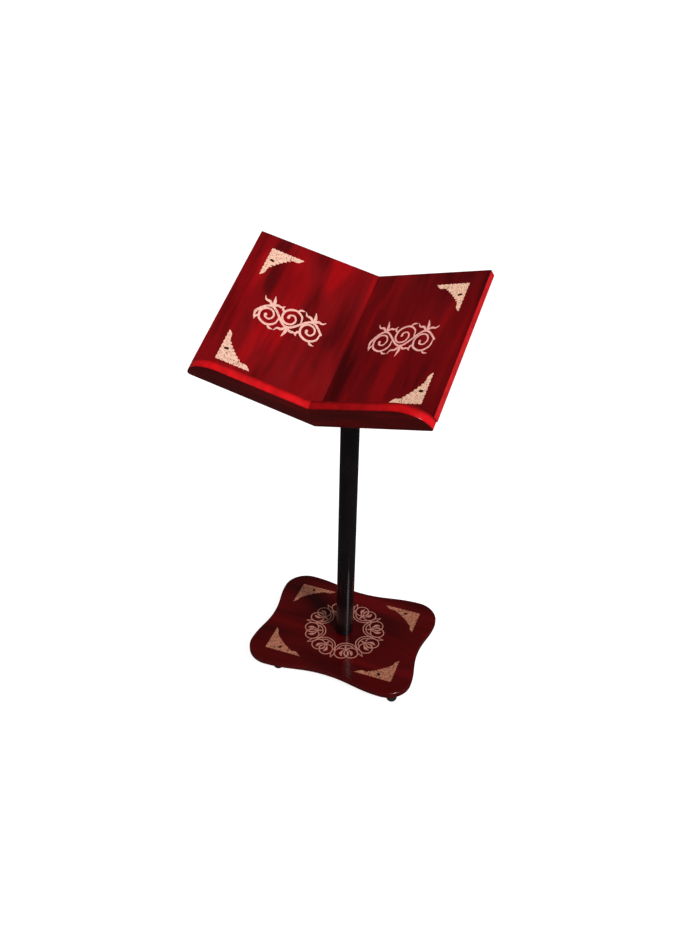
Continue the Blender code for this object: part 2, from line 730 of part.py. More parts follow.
def ledge_dowels(word, side, frame):
    length = DOWEL_IN_LEDGE + DOWEL_IN_LEAF - GAP
    chamfer = 0.0006
    middle = LEDGE_TOP - DOWEL_IN_LEDGE + length / 2
    profile = [
        (0, length / 2),
        (DOWEL_RADIUS - chamfer, length / 2),
        (DOWEL_RADIUS, length / 2 - chamfer),
        (DOWEL_RADIUS, chamfer - length / 2),
        (DOWEL_RADIUS - chamfer, -length / 2),
        (0, -length / 2),
    ]
    for number, place in enumerate(DOWEL_PLACES, 1):
        at = (side * place, middle, -LEAF_THICKNESS / 2)
        name = f"{word}_ledge_dowel_{number}"
        turned(name, profile, "plain_wood", frame, steps=12, location=at, rotation=(math.pi / 2, 0, 0))


def build():
    stand = empty("stand", location=(POLE_X, POLE_Y, 0))
    swivel = empty("swivel_axis", stand, rotation=(0, 0, BOARD_TURN))
    tilt = empty("tilt_axis", swivel, (0, 0, PIVOT_Z), (BOARD_TILT, 0, 0))
    base_plate(stand)
    feet(stand)
    base_fixing(stand)
    pole(stand)
    swivel_screw(stand)
    pole_head(swivel)
    board_bracket(tilt)
    pivot_bolt(tilt)
    tilt_clamp(tilt)
    spine_batten(tilt)
    bracket_screws(tilt)
    leaf_screws(tilt)
    for word, side in (("left", -1), ("right", 1)):
        frame = empty(f"{word}_leaf_frame", tilt, (0, 0, SPINE_ABOVE_PIVOT), (0, -side * LEAF_RISE, 0))
        leaf(word, side, frame)
        ledge(word, side, frame)
        ledge_dowels(word, side, frame)


build()
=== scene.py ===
"""Looks of the quran stand: fine pieces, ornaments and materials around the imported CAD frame.

Metres, +Z up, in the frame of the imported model. Each fine piece stands where its CAD node stands, and
rides on the same body. The printed ornaments are thin raised solids on the leaves and the base.
"""

import math

import bmesh
import bpy
import numpy as np
from mathutils import Matrix, Vector
from mathutils.geometry import delaunay_2d_cdt


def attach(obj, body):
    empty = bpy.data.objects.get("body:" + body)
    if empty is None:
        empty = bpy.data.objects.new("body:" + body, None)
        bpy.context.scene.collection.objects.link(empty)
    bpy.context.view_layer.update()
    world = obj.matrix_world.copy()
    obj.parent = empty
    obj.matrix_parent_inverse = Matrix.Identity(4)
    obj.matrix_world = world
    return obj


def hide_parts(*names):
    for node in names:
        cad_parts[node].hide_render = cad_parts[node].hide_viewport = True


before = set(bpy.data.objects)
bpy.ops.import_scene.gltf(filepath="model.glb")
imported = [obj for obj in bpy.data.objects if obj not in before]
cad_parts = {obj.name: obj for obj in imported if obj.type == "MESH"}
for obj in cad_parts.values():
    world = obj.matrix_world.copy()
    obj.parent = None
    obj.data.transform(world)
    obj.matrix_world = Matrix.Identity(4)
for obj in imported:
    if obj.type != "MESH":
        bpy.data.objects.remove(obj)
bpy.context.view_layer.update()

MM = 0.001
GAP = 0.0003
SCENE = bpy.context.scene

# Where the pole stands, and how the board leans and turns at rest.
POLE = Vector((0.0029, 0.0338, 0))
PIVOT_Z = 0.5885
BOARD_TILT = math.radians(29.3)
BOARD_TURN = math.radians(-3.7)
LEAF_RISE = math.radians(19.6)
SPINE_ABOVE_PIVOT = 0.050

# The strip along the board's lower end, on a leaf's own Y.
BOARD_BOTTOM = -0.1355
LEDGE_THICKNESS = 0.015
LEDGE_TOP = BOARD_BOTTOM + LEDGE_THICKNESS


def shift(x, y, z):
    return Matrix.Translation((x, y, z))


STAND = Matrix.Translation(POLE)
SWIVEL = STAND @ Matrix.Rotation(BOARD_TURN, 4, "Z")
TILT = SWIVEL @ shift(0, 0, PIVOT_Z) @ Matrix.Rotation(BOARD_TILT, 4, "X")
ALONG_X = Matrix.Rotation(math.pi / 2, 4, "Y")
ALONG_BACK = Matrix.Rotation(-math.pi / 2, 4, "X")
STAND_XZ = Matrix.Rotation(math.pi / 2, 4, "X")
STAND_YZ = Matrix(((0, 0, 1, 0), (1, 0, 0, 0), (0, 1, 0, 0), (0, 0, 0, 1)))
SIDES = (("left", -1), ("right", 1))


def leaf_frame(side):
    rise = Matrix.Rotation(-side * LEAF_RISE, 4, "Y")
    return TILT @ shift(0, 0, SPINE_ABOVE_PIVOT) @ rise


# --- Node helpers ---


class Finish:
    """A material's node tree, with short calls for the nodes that the finishes share."""

    def __init__(self, name, roughness, stand_in=None, **uniform):
        """stand_in is the frame that the finish's own X, Y and Z are taken in, such as a leaf's."""
        self.material = bpy.data.materials.new(name)
        self.material.use_nodes = True
        self.tree = self.material.node_tree
        self.shader = self.tree.nodes["Principled BSDF"]
        self.shader.inputs["Roughness"].default_value = roughness
        for socket, value in uniform.items():
            self.shader.inputs[socket.replace("_", " ")].default_value = value
        coordinates = self.add("TexCoord")
        self.place = coordinates.outputs["Object"]
        self.normal = coordinates.outputs["Normal"]
        if stand_in is not None:
            turn = stand_in.to_euler()
            spot = {"Vector": self.place, "Location": stand_in.translation, "Rotation": turn}
            self.place = self.add("Mapping", spot, vector_type="TEXTURE").outputs["Vector"]
            way = {"Vector": self.normal, "Rotation": turn}
            self.normal = self.add("Mapping", way, vector_type="TEXTURE").outputs["Vector"]

    def add(self, kind, inputs=(), **settings):
        node = self.tree.nodes.new("ShaderNode" + kind)
        for key, value in settings.items():
            setattr(node, key, value)
        for key, value in dict(inputs).items():
            if isinstance(value, bpy.types.NodeSocket):
                self.tree.links.new(value, node.inputs[key])
            else:
                node.inputs[key].default_value = value
        return node

    def noise(self, scale, stretch=(1, 1, 1), offset=(0, 0, 0), detail=3.0, distortion=0.0):
        """A noise with scale features to the metre, drawn out along the axes where stretch is small."""
        spot = {"Vector": self.place, "Scale": stretch, "Location": offset}
        mapping = self.add("Mapping", spot)
        look = {"Scale": scale, "Detail": detail, "Distortion": distortion}
        node = self.add("TexNoise", {"Vector": mapping.outputs["Vector"], **look})
        return node.outputs["Fac"]

    def spread(self, value, low, high, to_low=0.0, to_high=1.0):
        """The value with low to high laid on to_low to to_high, eased at both ends and clamped."""
        ends = {"From Min": low, "From Max": high, "To Min": to_low, "To Max": to_high}
        node = self.add("MapRange", {"Value": value, **ends}, interpolation_type="SMOOTHSTEP")
        return node.outputs["Result"]

    def math(self, operation, first, second=0.0):
        return self.add("Math", {0: first, 1: second}, operation=operation).outputs["Value"]

    def mix(self, factor, first, second):
        """From the first colour to the second. The colour sockets of the node share their names."""
        node = self.add("Mix", {0: factor, 6: first, 7: second}, data_type="RGBA")
        return node.outputs[2]

    def colour(self, socket):
        self.tree.links.new(socket, self.shader.inputs["Base Color"])

    def roughness(self, socket):
        self.tree.links.new(socket, self.shader.inputs["Roughness"])

    def bump(self, height, distance, strength):
        node = self.add("Bump", {"Height": height, "Distance": distance, "Strength": strength})
        self.tree.links.new(node.outputs["Normal"], self.shader.inputs["Normal"])


def rgb(red, green, blue):
    return (red, green, blue, 1.0)


def shade(colour, share):
    return tuple(part * share for part in colour[:3]) + (1.0,)


# --- Finishes ---


def lacquered_wood(
    name, dark, middle, bright, edge, streak_scale, offset, stand_in,
    along="Y", flat="Z", gloss=(0.32, 0.15), outward_light=1.0, shaded_lip=None,
):
    """Dark red grain under a clear gloss coat. The narrow cut edges carry a plainer, brighter red.

    along is the axis of stand_in that the grain runs on, and flat the one square to the broad faces.
    gloss is the coat's weight and roughness. lift is how much brighter the edge red gets outward, as
    painted light.
    lip is where a strip's long edges lie on Y. Painted shade darkens its edge red at both, most at the
    second, by the leaf."""
    weight, haze = gloss
    coat = {"Coat_Weight": weight, "Coat_Roughness": haze, "Coat_IOR": 1.45}
    wood = Finish(name, 0.34, stand_in, Specular_IOR_Level=0.08, **coat)

    def drawn_out(share):
        return tuple(share if axis == along else 1.0 for axis in "XYZ")

    broad = wood.noise(streak_scale, drawn_out(0.16), offset, detail=2.0, distortion=0.35)
    cloud = wood.noise(9.0, drawn_out(0.5), offset, detail=1.5)
    fine = wood.noise(260.0, drawn_out(0.02), offset, distortion=0.2)
    pores = wood.noise(900.0, drawn_out(0.03), offset, detail=1.0)
    tone = wood.math("ADD", wood.math("MULTIPLY", broad, 0.62), wood.math("MULTIPLY", cloud, 0.38))
    lower = wood.mix(wood.spread(tone, 0.36, 0.50), dark, middle)
    grain = wood.mix(wood.spread(tone, 0.50, 0.62), lower, bright)
    grain = wood.mix(wood.spread(fine, 0.50, 0.68, 0.0, 0.20), grain, dark)
    grain = wood.mix(wood.spread(pores, 0.62, 0.72, 0.0, 0.35), grain, dark)
    sides = wood.add("SeparateXYZ", {0: wood.normal})
    on_edge = wood.spread(wood.math("ABSOLUTE", sides.outputs[flat]), 0.88, 0.55)
    worn = wood.noise(60.0, (1, 1, 1), offset, detail=4.0)
    place = wood.add("SeparateXYZ", {0: wood.place})
    # Painted light: the edge red brightens outward, towards the strip's outer end, by the factor lift.
    outward = wood.spread(wood.math("ABSOLUTE", place.outputs["X"]), 0.08, 0.18)
    painted_edge_red = wood.mix(outward, edge, shade(edge, outward_light))
    # Painted shade: the edge red darkens towards both long edges of a strip, most in the crease against the
    # leaf.
    if shaded_lip:
        front, back = shaded_lip
        front_rim_shade = wood.spread(place.outputs["Y"], front, front + 0.003, 0.62, 1.0)
        crease_shade = wood.spread(place.outputs["Y"], back, back - 0.007, 0.35, 1.0)
        painted_edge_red = wood.mix(wood.math("MULTIPLY", front_rim_shade, crease_shade), rgb(0, 0, 0), painted_edge_red)
    edge_red = wood.mix(wood.spread(worn, 0.35, 0.7, 0.0, 0.28), painted_edge_red, rgb(0, 0, 0))
    wood.colour(wood.mix(on_edge, grain, edge_red))
    smear = wood.noise(22.0, drawn_out(0.5), offset)
    wood.roughness(wood.spread(smear, 0.3, 0.75, 0.26, 0.42))
    wood.bump(fine, 0.00003, 0.5)
    return wood.material


def printed_cream(name, light, offset, stand_in, wear=0.75):
    """The cream print under the lacquer: uneven ink with a trace of the wood's grain in it.

    wear is the share of the light ink's colour left in the darkest patches."""
    ink = Finish(name, 0.42, stand_in, Specular_IOR_Level=0.25, Coat_Weight=0.4, Coat_Roughness=0.12)
    deep = shade(light, wear)
    patch = ink.noise(210.0, offset=offset)
    grain = ink.noise(700.0, (1, 0.05, 1), offset, detail=2.0)
    tone = ink.mix(ink.spread(patch, 0.38, 0.68), light, deep)
    thin = ink.spread(grain, 0.60, 0.78, 0.0, 0.35)
    ink.colour(ink.mix(thin, tone, shade(light, 0.45)))
    ink.bump(patch, 0.00003, 0.4)
    return ink.material


def satin_black(name):
    paint = Finish(name, 0.26, Specular_IOR_Level=0.35, Coat_Weight=0.35, Coat_Roughness=0.10)
    peel = paint.noise(420.0, detail=2.0)
    dust = paint.noise(35.0, (1, 1, 0.4), detail=4.0)
    deep, dusty = rgb(0.0028, 0.0016, 0.0024), rgb(0.0052, 0.0034, 0.0046)
    paint.colour(paint.mix(paint.spread(dust, 0.4, 0.8), deep, dusty))
    paint.roughness(paint.spread(dust, 0.3, 0.8, 0.24, 0.30))
    paint.bump(peel, 0.000004, 0.3)
    return paint.material


def textured_black(name, level, scale, depth, roughness):
    """Moulded plastic, powder-coated steel or rubber: near black with a fine, even skin."""
    skin = Finish(name, roughness, Specular_IOR_Level=0.4)
    fine = skin.noise(scale)
    patch = skin.noise(60.0, detail=4.0)
    dark = rgb(level * 0.8, level * 0.8, level * 0.82)
    light = rgb(level * 1.5, level * 1.5, level * 1.55)
    skin.colour(skin.mix(skin.spread(patch, 0.35, 0.75), dark, light))
    skin.roughness(skin.spread(patch, 0.3, 0.75, roughness * 0.88, min(1.0, roughness * 1.15)))
    skin.bump(fine, depth, 0.8)
    return skin.material


def zinc_plate(name):
    zinc = Finish(name, 0.34, Metallic=1.0)
    bloom = zinc.noise(180.0, detail=4.0)
    lines = zinc.noise(1600.0, (1, 1, 0.08), detail=2.0)
    zinc.colour(zinc.mix(zinc.spread(bloom, 0.35, 0.7), rgb(0.62, 0.62, 0.60), rgb(0.42, 0.42, 0.40)))
    zinc.roughness(zinc.spread(bloom, 0.3, 0.7, 0.26, 0.46))
    zinc.bump(lines, 0.00002, 0.5)
    return zinc.material


def bare_beech(name):
    beech = Finish(name, 0.7, Specular_IOR_Level=0.3)
    flecks = beech.noise(800.0, (1, 0.06, 1))
    beech.colour(beech.mix(beech.spread(flecks, 0.35, 0.7), rgb(0.52, 0.33, 0.18), rgb(0.36, 0.20, 0.10)))
    beech.bump(flecks, 0.00005, 0.6)
    return beech.material


LEFT_FACE = (rgb(0.072, 0.0008, 0.0016), rgb(0.170, 0.0013, 0.0028), rgb(0.275, 0.0016, 0.0032))
RIGHT_FACE = (rgb(0.055, 0.0008, 0.0014), rgb(0.135, 0.0012, 0.0026), rgb(0.215, 0.0015, 0.0030))
BASE_FACE = (rgb(0.034, 0.0005, 0.0008), rgb(0.058, 0.0007, 0.0010), rgb(0.088, 0.0009, 0.0013))
# Where the ledges' painted shade lies: along their front rim and in the crease against the leaf.
LEDGE_SHADED_LIP = (BOARD_BOTTOM, LEDGE_TOP)
LEDGE_FACE = tuple(shade(colour, 0.72) for colour in BASE_FACE)
LEFT = leaf_frame(-1)
RIGHT = leaf_frame(1)
LEAF_EDGE = rgb(0.45, 0.007, 0.010)
LEDGE_EDGE = rgb(0.34, 0.002, 0.004)
BASE_EDGE = rgb(0.05, 0.0008, 0.0012)

LEFT_WOOD = lacquered_wood("left_leaf_lacquer", *LEFT_FACE, LEAF_EDGE, 34.0, (0.31, 0.07, 0), LEFT)
RIGHT_WOOD = lacquered_wood("right_leaf_lacquer", *RIGHT_FACE, LEAF_EDGE, 34.0, (0.83, 0.41, 0), RIGHT)
STRIP = {"along": "X", "flat": "Y", "shaded_lip": LEDGE_SHADED_LIP}
LEFT_LEDGE_RED = shade(LEDGE_EDGE, 1.65)
LEFT_LEDGE_WOOD = lacquered_wood(
    "left_ledge_lacquer", *LEDGE_FACE, LEFT_LEDGE_RED, 40.0, (0.17, 0, 0), LEFT, **STRIP
)
# The right ledge's edge red carries painted light: darker near the spine, brighter towards its outer end.
RIGHT_LEDGE_WOOD = lacquered_wood(
    "right_ledge_lacquer", *LEDGE_FACE, LEDGE_EDGE, 40.0, (0.47, 0, 0), RIGHT, outward_light=1.6, **STRIP
)
BASE_WOOD = lacquered_wood(
    "base_lacquer", *BASE_FACE, BASE_EDGE, 26.0, (0.52, 0.2, 0), STAND, along="X", gloss=(0.55, 0.16)
)
BATTEN_WOOD = lacquered_wood("batten_lacquer", *BASE_FACE, BASE_EDGE, 30.0, (0.1, 0.7, 0), TILT)
LEAF_PRINTS = {
    "left": printed_cream("left_corner_ink", rgb(0.80, 0.48, 0.36), (0.2, 0.1, 0), LEFT),
    "right": printed_cream("right_corner_ink", rgb(1.0, 0.60, 0.42), (0.6, 0.4, 0), RIGHT),
}
SCROLL_PRINTS = {
    "left": printed_cream("left_scroll_ink", rgb(0.82, 0.455, 0.38), (0.3, 0.8, 0), LEFT),
    "right": printed_cream("right_scroll_ink", rgb(1.0, 0.47, 0.41), (0.9, 0.2, 0), RIGHT),
}
BASE_PRINT = printed_cream("base_corner_ink", rgb(0.40, 0.145, 0.085), (0.7, 0.3, 0), STAND, wear=0.5)
EYE_PRINT = printed_cream("eye_ink", rgb(0.030, 0.010, 0.004), (0.1, 0.5, 0), STAND)
RING_PRINT = printed_cream("base_wreath_ink", rgb(0.42, 0.165, 0.125), (0.4, 0.9, 0), STAND)
TUBE_BLACK = satin_black("tube_satin_black")
STEEL_BLACK = textured_black("bracket_powder_coat", 0.016, 1500.0, 0.00004, 0.5)
PLASTIC_BLACK = textured_black("moulded_plastic", 0.012, 2200.0, 0.00003, 0.42)
RUBBER_BLACK = textured_black("foot_rubber", 0.0045, 900.0, 0.00006, 0.85)
ZINC = zinc_plate("zinc_plated_steel")
BEECH = bare_beech("bare_beech")


# --- Mesh helpers ---


def placed(name, data):
    made = bpy.data.objects.new(name, data)
    SCENE.collection.objects.link(made)
    return made


def mesh_of(name, bm, material):
    bmesh.ops.recalc_face_normals(bm, faces=bm.faces)
    mesh = bpy.data.meshes.new(name)
    bm.to_mesh(mesh)
    bm.free()
    mesh.materials.append(material)
    return mesh


def add_piece(name, bm, material, place, body, nodes=(), sharp=35):
    """A finished piece from a bmesh, riding on its body and standing for its CAD nodes."""
    add_mesh(name, mesh_of(name, bm, material), place, body, nodes, sharp)


def add_mesh(name, mesh, place, body, nodes, sharp=35):
    """The mesh moves to its place in the row frame, as in the CAD, and its object stays at the origin."""
    if place.determinant() < 0:
        mesh.flip_normals()
    mesh.transform(place)
    mesh.shade_smooth()
    mesh.set_sharp_from_angle(angle=math.radians(sharp))
    piece = placed(name, mesh)
    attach(piece, body)
    if nodes:
        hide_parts(*nodes)


def arc(centre, radii, start, end, steps):
    """Points on an ellipse's arc, angles in degrees."""
    angles = [math.radians(start + (end - start) * step / steps) for step in range(steps + 1)]
    return [(centre[0] + radii[0] * math.cos(a), centre[1] + radii[1] * math.sin(a)) for a in angles]


def eased(profile, radius, steps=4, closed=True):
    """The profile with each of its corners rounded, as far as its neighbours leave room."""
    count = len(profile)
    points = []
    for index, corner in enumerate(profile):
        if not closed and index in (0, count - 1):
            points.append(Vector(corner))
            continue
        here = Vector(corner)
        before = Vector(profile[index - 1]) - here
        after = Vector(profile[(index + 1) % count]) - here
        reach = min(radius, before.length * 0.45, after.length * 0.45)
        start = here + before.normalized() * reach
        end = here + after.normalized() * reach
        for step in range(steps + 1):
            t = step / steps
            points.append(start * (1 - t) ** 2 + here * 2 * t * (1 - t) + end * t**2)
    return [tuple(point) for point in points]


def lathe(bm, profile, steps, closed=False):
    """A profile of (radius, height) turned round Z. Points on the axis become one vertex."""
    turns = [2 * math.pi * step / steps for step in range(steps)]
    rings = []
    for radius, height in profile:
        angles = turns if radius > 1e-7 else turns[:1]
        rings.append([bm.verts.new((radius * math.cos(a), radius * math.sin(a), height)) for a in angles])
    pairs = list(zip(rings, rings[1:]))
    if closed:
        pairs.append((rings[-1], rings[0]))
    for first, second in pairs:
        for step in range(steps):
            ahead = (step + 1) % steps
            corners = [first[step % len(first)], first[ahead % len(first)]]
            corners += [second[ahead % len(second)], second[step % len(second)]]
            corners = list(dict.fromkeys(corners))
            if len(corners) > 2:
                bm.faces.new(corners)


def tube(inner, outer, top, bottom, easing):
    """The profile of a tube or a washer."""
    return eased([(inner, top), (outer, top), (outer, bottom), (inner, bottom)], easing)


def turned(name, profile, steps, material, place, body, node):
    """A piece turned round Z from a closed profile, such as a washer or a tube."""
    bm = bmesh.new()
    lathe(bm, profile, steps, closed=True)
    add_piece(name, bm, material, place, body, [node])


def inset_loop(points, inset):
    """A closed loop of points moved inward by inset, square to its own line."""
    points = [Vector(point) for point in points]
    moved = []
    for before, here, after in zip(points[-1:] + points[:-1], points, points[1:] + points[:1]):
        first = (here - before).normalized()
        second = (after - here).normalized()
        normal = Vector((-(first.y + second.y), first.x + second.x)).normalized()
        squeeze = max(0.5, normal.dot(Vector((-first.y, first.x))))
        moved.append(here + normal * inset / squeeze)
    return moved


def slab(bm, outline, low, high, edge, steps, turn=None):
    """An anticlockwise outline in X and Y, thick from low to high, with rounded rims."""
    levels = []
    for step in range(steps + 1):
        angle = math.pi / 2 * step / steps
        levels.append((edge * (1 - math.sin(angle)), low + edge * (1 - math.cos(angle))))
    levels += [(inset, high - (height - low)) for inset, height in reversed(levels)]
    rings = []
    for inset, height in levels:
        rings.append([bm.verts.new((p.x, p.y, height)) for p in inset_loop(outline, inset)])
    count = len(outline)
    for first, second in zip(rings, rings[1:]):
        for index in range(count):
            ahead = (index + 1) % count
            bm.faces.new((first[index], first[ahead], second[ahead], second[index]))
    bm.faces.new(list(reversed(rings[0])))
    bm.faces.new(rings[-1])
    if turn:
        bmesh.ops.transform(bm, matrix=turn, verts=[vert for ring in rings for vert in ring])


# --- Base ---

FOOT_HEIGHT = 0.020
PLATE_TOP = 0.032
PLATE_EDGE = 0.0025
LOBE_RADIUS = 0.044
LOBE_X = 0.1118
LOBE_Y = 0.0820
WAIST_X = 0.1455
WAIST_Y = 0.1125
FOOT_RADIUS = 0.010
FOOT_PLACES = {
    "front_left": (-0.0926, -0.1025),
    "front_right": (0.1279, -0.1042),
    "back_left": (-0.112, 0.096),
    "back_right": (0.112, 0.096),
}


def bezier(start, first, second, end, steps):
    points = []
    for step in range(steps):
        t = step / steps
        a, b, c, d = (1 - t) ** 3, 3 * t * (1 - t) ** 2, 3 * t**2 * (1 - t), t**3
        points.append(a * start + b * first + c * second + d * end)
    return points


def base_outline():
    """Four round lobes joined by hollowed sides, anticlockwise round the pole."""
    steps = 14
    round_handle = 0.5523 * LOBE_RADIUS
    side_x = 0.42 * LOBE_X
    side_y = 0.42 * LOBE_Y
    far_x = LOBE_X + LOBE_RADIUS
    far_y = LOBE_Y + LOBE_RADIUS
    knots = [
        ((WAIST_X, 0), (0, 1), side_y, side_y),
        ((far_x, LOBE_Y), (0, 1), side_y, round_handle),
        ((LOBE_X, far_y), (-1, 0), round_handle, side_x),
        ((0, WAIST_Y), (-1, 0), side_x, side_x),
        ((-LOBE_X, far_y), (-1, 0), side_x, round_handle),
        ((-far_x, LOBE_Y), (0, -1), round_handle, side_y),
    ]
    knots += [((-p[0], -p[1]), (-way[0], -way[1]), back, ahead) for p, way, back, ahead in knots]
    points = []
    for knot, following in zip(knots, knots[1:] + knots[:1]):
        start, way, _, ahead = knot
        end, end_way, back, _ = following
        first = Vector(start) + Vector(way) * ahead
        second = Vector(end) - Vector(end_way) * back
        points += bezier(Vector(start), first, second, Vector(end), steps)
    return points


def base_board():
    bm = bmesh.new()
    slab(bm, base_outline(), FOOT_HEIGHT, PLATE_TOP, PLATE_EDGE, 7)
    add_piece("base_board", bm, BASE_WOOD, STAND, "base", ["base_plate"], 40)


def screw_mesh(name, length):
    """A pan-head wood screw with a cross on its head and a plain shank. The head is under Z = 0."""
    head_radius = 0.0039
    head = 0.0024
    shank = 0.0019
    bm = bmesh.new()
    flank = [(head_radius, 0), (head_radius, -head * 0.35)]
    dome = arc((head_radius * 0.55, -head * 0.35), (head_radius * 0.45, head * 0.65), 0, -90, 6)
    pit = -head * 0.45
    profile = [(shank, 0), *flank, *dome[1:], (0.0010, -head), (0.0006, pit), (0, pit)]
    profile = [(0, length), (shank * 0.4, length - shank), (shank, length - 2.5 * shank)] + profile
    lathe(bm, profile, 32)
    arm_size = (0.0040, 0.0009, 0.0002)
    for turn in (0, math.pi / 2):
        arm = bmesh.ops.create_cube(bm, size=1.0)["verts"]
        bmesh.ops.scale(bm, vec=arm_size, verts=arm)
        bmesh.ops.rotate(bm, matrix=Matrix.Rotation(turn, 3, "Z"), verts=arm)
        bmesh.ops.translate(bm, vec=(0, 0, -head), verts=arm)
    return mesh_of(name, bm, ZINC)


def feet():
    """Rubber buffers with a rounded tread and a recess for the screw's head."""
    top = FOOT_HEIGHT - GAP
    seat = top / 2
    bore = 0.0025
    recess = 0.0049
    tread = 0.0056
    swell = 0.0095
    flank = arc((tread, swell), (FOOT_RADIUS - tread, swell), 0, -90, 12)
    profile = [(bore, top), (FOOT_RADIUS, top), *flank, (recess, 0), (recess, seat), (bore, seat)]
    screw = screw_mesh("foot_screw_fine", FOOT_HEIGHT - seat + 0.0065)
    profile = eased(profile, 0.0009)
    for word, (x, y) in FOOT_PLACES.items():
        place = STAND @ shift(x, y, 0)
        name = f"rubber_foot_{word}"
        turned(name, profile, 56, RUBBER_BLACK, place, "base", f"foot_{word}")
        place = place @ shift(0, 0, seat - GAP)
        name = f"foot_fixing_{word}"
        add_mesh(name, screw.copy(), place, "base", [f"foot_screw_{word}"])


def base_fixing():
    """The washer and the hexagon head under the base."""
    top = FOOT_HEIGHT - GAP
    bottom = top - 0.002
    ring = tube(inner=0.0056, outer=0.018, top=top, bottom=bottom, easing=0.0005)
    turned("base_fixing_washer", ring, 64, ZINC, STAND, "base", "base_washer")
    corner = 0.0095
    head_top = bottom - GAP
    head_bottom = head_top - 0.0064
    bm = bmesh.new()
    hexagon = [(corner * math.cos(a), corner * math.sin(a)) for a in np.arange(6) * math.pi / 3]
    slab(bm, hexagon, head_bottom, head_top, 0.0006, 3)
    shank = 0.005
    end = PLATE_TOP + 0.026
    root = head_top - 0.001
    lathe(bm, tube(0, shank, end, root, 0.0008), 32)
    add_piece("base_fixing_bolt", bm, ZINC, STAND, "base", ["base_bolt"])


# --- Pole ---

TUBE_RADIUS = 0.016
TUBE_WALL = 0.0015
TUBE_TOP = 0.5609
BUSH_RIM = 0.003
BUSH_TOP = TUBE_TOP + GAP + BUSH_RIM
STEM_RADIUS = 0.0097
SWIVEL_SCREW_Z = TUBE_TOP - 0.025


def knob_outline(radius, depth, lobes):
    """A round grip whose rim swells into lobes."""
    steps_per_lobe = 14
    total = lobes * steps_per_lobe
    points = []
    for angle in [2 * math.pi * step / total for step in range(total)]:
        reach = radius - depth / 2 + depth / 2 * math.cos(lobes * angle)
        points.append((reach * math.cos(angle), reach * math.sin(angle)))
    return points


def pole_shaft():
    wall = tube(TUBE_RADIUS - TUBE_WALL, TUBE_RADIUS, TUBE_TOP, PLATE_TOP + GAP, 0.0005)
    turned("pole_shaft", wall, 96, TUBE_BLACK, STAND, "base", "pole_tube")


def pole_cap():
    sleeve = TUBE_RADIUS - TUBE_WALL - GAP
    bore = STEM_RADIUS + GAP
    rim = BUSH_TOP - BUSH_RIM
    foot = BUSH_TOP - 0.048
    brim = 0.018
    profile = [(bore, BUSH_TOP), (brim, BUSH_TOP), (brim, rim), (sleeve, rim), (sleeve, foot), (bore, foot)]
    profile = eased(profile, 0.0008)
    turned("pole_cap", profile, 72, PLASTIC_BLACK, STAND, "base", "pole_top_bush")


def swivel_thumbscrew():
    """The fluted screw behind the pole that holds the turn of the board."""
    tip = STEM_RADIUS + GAP
    collar = TUBE_RADIUS + 0.002
    grip = collar + 0.003
    end = grip + 0.013
    core = end - 0.004
    profile = [(0, core), (0.006, core), (0.006, collar), (0.003, collar), (0.003, tip), (0, tip)]
    bm = bmesh.new()
    lathe(bm, eased(profile, 0.0005, closed=False), 40)
    slab(bm, knob_outline(0.0110, 0.0014, 10), grip, end, 0.0014, 5)
    cap = [(0, end + 0.0001), (0.0065, end + 0.0001), (0.0075, end - 0.0006), (0, end - 0.0006)]
    lathe(bm, eased(cap, 0.0003), 48)
    place = STAND @ shift(0, 0, SWIVEL_SCREW_Z) @ ALONG_BACK
    nodes = ["swivel_thumbscrew"]
    add_piece("turn_lock_screw", bm, PLASTIC_BLACK, place, "swivel_screw", nodes)


# --- Head and tilt joint ---

SHOULDER_BOTTOM = BUSH_TOP + GAP
SHOULDER_HEIGHT = 0.006
TONGUE_RADIUS = 0.012
TONGUE_HALF = 0.010
STEEL = 0.003
BRACKET_BOTTOM = 0.016
EAR_RADIUS = 0.013
EAR_INSIDE = TONGUE_HALF + GAP
EAR_OUTSIDE = EAR_INSIDE + STEEL
TILT_WASHER = 0.0016


def tilt_head():
    """Stem, shoulder and the flat tongue that the bracket's ears hold."""
    top = SHOULDER_BOTTOM + SHOULDER_HEIGHT
    profile = [(0, top), (0.017, top), (0.017, SHOULDER_BOTTOM), (STEM_RADIUS, SHOULDER_BOTTOM)]
    profile += [(STEM_RADIUS, SHOULDER_BOTTOM - 0.045), (0, SHOULDER_BOTTOM - 0.045)]
    bm = bmesh.new()
    lathe(bm, eased(profile, 0.0009, closed=False), 64)
    foot = SHOULDER_BOTTOM + SHOULDER_HEIGHT / 2
    crown = arc((0, PIVOT_Z), (TONGUE_RADIUS, TONGUE_RADIUS), 0, 180, 32)
    tongue = [(TONGUE_RADIUS, foot), *crown, (-TONGUE_RADIUS, foot)]
    slab(bm, tongue, -TONGUE_HALF, TONGUE_HALF, 0.0008, 3, STAND_YZ)
    add_piece("tilt_head", bm, STEEL_BLACK, SWIVEL, "head", ["pole_head"])


def hinge_bracket():
    """The plate under the batten, with an ear at each side of the tongue."""
    bm = bmesh.new()
    plate = [(-0.025, -0.045), (0.025, -0.045), (0.025, 0.045), (-0.025, 0.045)]
    slab(bm, eased(plate, 0.0005, 3), BRACKET_BOTTOM, BRACKET_BOTTOM + STEEL, 0.0005, 3)
    top = BRACKET_BOTTOM + STEEL / 2
    ear = [(-EAR_RADIUS, top), *arc((0, 0), (EAR_RADIUS, EAR_RADIUS), 180, 360, 36), (EAR_RADIUS, top)]
    for side in (-1, 1):
        low, high = sorted((side * EAR_INSIDE, side * EAR_OUTSIDE))
        slab(bm, ear, low, high, 0.0005, 3, STAND_YZ)
        # A weld bead along the ear's root.
        reach = EAR_RADIUS - 0.001
        for along in np.linspace(-reach, reach, 13):
            lump = bmesh.ops.create_uvsphere(bm, u_segments=12, v_segments=8, radius=0.0011)["verts"]
            at = (side * EAR_OUTSIDE, along, BRACKET_BOTTOM)
            bmesh.ops.translate(bm, vec=at, verts=lump)
    add_piece("hinge_bracket", bm, STEEL_BLACK, TILT, "board", ["board_bracket"])


